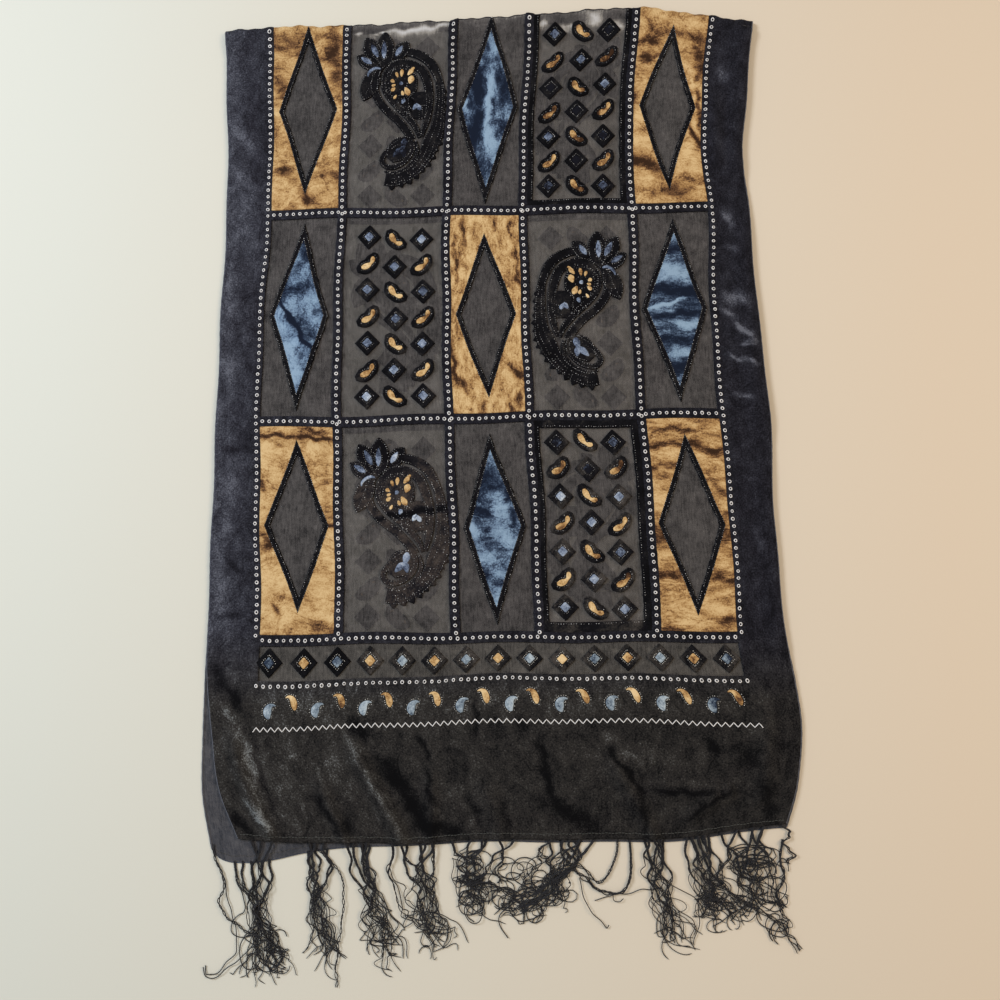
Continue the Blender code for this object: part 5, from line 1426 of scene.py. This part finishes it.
# Cords laid one by one: half, strands, how far they part at the end, points in millimetres on the table.
LAID = [
    (1, 2, 1.5, ((-240, -388), (-238, -400), (-231, -413), (-230, -425), (-233.6, -434.5), (-227.3, -445.4),
                 (-214, -456), (-203, -462))),
    (1, 1, 0.5, ((-240, -388), (-237, -401), (-230, -414), (-226, -432), (-219, -452), (-217, -474),
                 (-226, -485), (-235, -493), (-241.5, -493), (-242.5, -485))),
    (1, 1, 0.5, ((-200, -462), (-206, -472), (-216, -481), (-227, -489), (-236, -494.5), (-242, -493.5),
                 (-242.5, -486))),
    (1, 2, 1.0, ((-154, -390), (-140, -402), (-131, -413), (-128.5, -434.5), (-132.4, -473), (-133.5, -490),
                 (-132.4, -502))),
    (0, 4, 3.0, ((171.5, -383), (179.8, -408.5), (193.7, -424.3), (213.2, -437.5), (232.7, -448),
                 (245, -462), (254, -473))),
    (0, 4, 2.0, ((113, -381), (113.2, -411), (109, -424), (98, -428), (82.6, -423), (74, -415),
                 (64.5, -408.5))),
    (0, 3, 1.5, ((103.3, -381), (101, -398), (96.1, -408.4), (87.7, -418.9), (76.8, -411), (68, -404),
                 (60, -404))),
    (0, 7, 6.0, ((86, -381), (80, -388), (70, -400), (60, -410), (48, -420), (34, -430), (18.8, -437.5))),
    (0, 4, 5.0, ((64, -381), (70, -396), (66, -406), (52, -416), (40, -428), (24, -446))),
    (0, 1, 0.5, ((82.7, -433.5), (98, -429), (115, -427), (124, -424.5), (140, -424.5))),
    (0, 1, 0.5, ((98, -427), (99, -433.5), (104, -435), (107, -432))),
    (0, 1, 0.5, ((70, -415), (75.6, -436.2), (85.4, -448), (92.4, -455.4), (93.7, -452.6))),
    (0, 4, 2.5, ((243, -384), (240, -402), (243, -414), (236, -428), (241, -440)))]
# Curls in the tangles: x, y, half width, half height, turns, drift across and along.
LAID += [(0, 1, 2.0, spring(*curl)) for curl in (
    (214, -398, 20, 9, 2.7, 6, -8), (220, -404, 21, 9, 2.4, -8, -8), (222, -396, 20, 8, 2.2, 4, -16),
    (204, -404, 14, 11, 2.2, 18, -6), (226, -412, 15, 14, 1.9, 6, -22), (212, -393, 20, 6, 2.1, 6, -4),
    (232, -448, 9, 8, 1.7, 6, -14), (226, -438, 12, 8, 1.6, 12, -24), (240, -410, 7, 16, 1.3, 2, -28),
    (-24, -402, 12, 9, 2.6, 8, -10), (-16, -398, 14, 8, 2.3, -10, -8), (-28, -430, 10, 9, 2.4, 8, -8),
    (-22, -436, 9, 10, 2.7, 4, -10), (-6, -420, 13, 10, 2.4, -12, -12), (6, -404, 14, 8, 2.6, 10, -12),
    (20, -408, 14, 11, 2.0, 24, -14), (2, -430, 14, 10, 2.0, 22, -14), (42, -436, 15, 12, 1.7, -26, -14),
    (-196, -470, 11, 12, 1.8, 16, -14), (-202, -478, 10, 9, 2.0, 26, -8), (-186, -462, 12, 10, 1.6, 12, -18),
    (-208, -466, 9, 12, 1.6, 4, -24))]


def laid_cords(rows, seed):
    """Strands wind with a radius of 0.7 mm and a turn every 12 mm round a smooth curve through the
    points, while a slow wave and a parting that grows with t^2 carry them sideways."""
    noise = np.random.default_rng(seed)
    t = np.linspace(0, 1, STEPS)
    paths, radii = [], []
    for _, count, part, points in rows:
        points = np.asarray(points, float)
        length = np.concatenate([[0], np.cumsum(np.hypot(*np.diff(points, axis=0).T))])
        at = t * length[-1]
        x, y = smooth_table(length, points[:, 0], at), smooth_table(length, points[:, 1], at)
        dx, dy = np.gradient(x), np.gradient(y)
        run = np.hypot(dx, dy) + 1e-9
        wind = 2 * np.pi * (np.arange(count)[:, None] / count + at / 12)
        off = 0.7 * np.cos(wind) * (count > 1) + part * noise.normal(0, 1, (count, 1)) * t * t
        off = off + 0.9 * t * np.sin(noise.uniform(0, 2 * np.pi, (count, 1)) + 2 * np.pi * at / 19)
        z = 1.3 + noise.uniform(0, 1.6, (count, 1)) * np.sin(np.pi * t) + 0.45 * np.sin(wind)
        paths.append(np.stack([x - dy / run * off, np.maximum(y + dx / run * off, LOWEST_Y),
                               np.clip(z, YARN_LOW, YARN_HIGH)], axis=-1) * MM)
        radii.append(np.full((count, STEPS), 1.05) * noise.uniform(0.34, 0.45, (count, 1)) * MM)
    return np.concatenate(paths), np.concatenate(radii)


for label, half, node in (("front", 0, "fringe_front"), ("under", 1, "fringe_under")):
    loose = strands(BUNDLES[BUNDLES[:, 0] == half], 21 + half)
    laid = laid_cords([row for row in LAID if row[0] == half], 31 + half)
    paths, radii = (np.concatenate(pair) for pair in zip(loose, laid))
    make_piece(f"fringe_{label}_yarn", tubes(paths, radii, 4), [black_yarn], [node])
    print("strands", label, len(paths))

# %% [markdown]
# ## The cut cloth
# The chiffon ground is the cloth that was cut: 508 by 1524 mm before it was folded.

print("sheet declared")

# %% [markdown]
# ## Floor, light and camera
# The scarf lies on a pale sheet in daylight from the left and warmer light from the right; the sheet's
# colour is also painted from cool on the left to warm on the right, as that light falls.

# %% Floor, lights, camera
floor_mesh = bpy.data.meshes.new("floor")
floor_mesh.from_pydata([(-3, -3, 0), (3, -3, 0), (3, 3, 0), (-3, 3, 0)], [], [(0, 1, 2, 3)])
floor = bpy.data.objects.new("floor", floor_mesh)
bpy.context.scene.collection.objects.link(floor)
material, tree, output = new_material("pale_sheet")
spot = add_node(tree, "ShaderNodeTexCoord").outputs["Object"]
axes = add_node(tree, "ShaderNodeSeparateXYZ", links={"Vector": spot})
# The sheet's colour runs from cool grey on the left to warm beige on the right: painted light of the two
# lamps.
side = add_node(tree, "ShaderNodeMapRange", inputs={"From Min": -0.4, "From Max": 0.4},
                links={"Value": axes.outputs["X"]})
floor_painted_light = ramp_at(tree, side.outputs["Result"], ((0.0, "#dadcd1"), (1.0, "#dfd1bc")))
close_material(tree, output, {"Roughness": 0.95}, {"Base Color": floor_painted_light})
floor_mesh.materials.append(material)
AIM = (0.0, -0.05, 0.0)     # what the lights look at, in metres


def area_light(name, where, size, power, colour):
    """A square soft light turned to the scarf."""
    data = bpy.data.lights.new(name, "AREA")
    data.size, data.energy, data.color = size, power, linear(colour)[:3]
    light = bpy.data.objects.new(name, data)
    light.location = where
    x, y, z = np.array(AIM) - np.array(where)
    light.rotation_euler = (np.arctan2(np.hypot(x, y), -z), 0.0, np.arctan2(-x, y))
    bpy.context.scene.collection.objects.link(light)


area_light("daylight_left", (-1.3, 0.45, 1.35), 0.6, 23.5, "#e9f1ff")
area_light("room_light_right", (1.3, 0.1, 1.5), 0.9, 14.0, "#ffdfbb")
world = bpy.data.worlds.new("studio")
bpy.context.scene.world = world
world.use_nodes = True
world.node_tree.nodes["Background"].inputs["Color"].default_value = linear("#f2f0ea")
world.node_tree.nodes["Background"].inputs["Strength"].default_value = 0.45
bpy.context.scene.view_settings.view_transform = "Standard"

camera_data = bpy.data.cameras.new("camera")
camera_data.lens, camera_data.sensor_width = 36.0, 36.0
camera = bpy.data.objects.new("camera", camera_data)
pitch, distance, middle_x, middle_y = np.radians(80.86), 0.8967, 0.003, -0.092
camera.location = (middle_x, middle_y - distance * np.cos(pitch), distance * np.sin(pitch))
camera.rotation_euler = (np.pi / 2 - pitch, 0.0, 0.0)
bpy.context.scene.collection.objects.link(camera)
bpy.context.scene.camera = camera
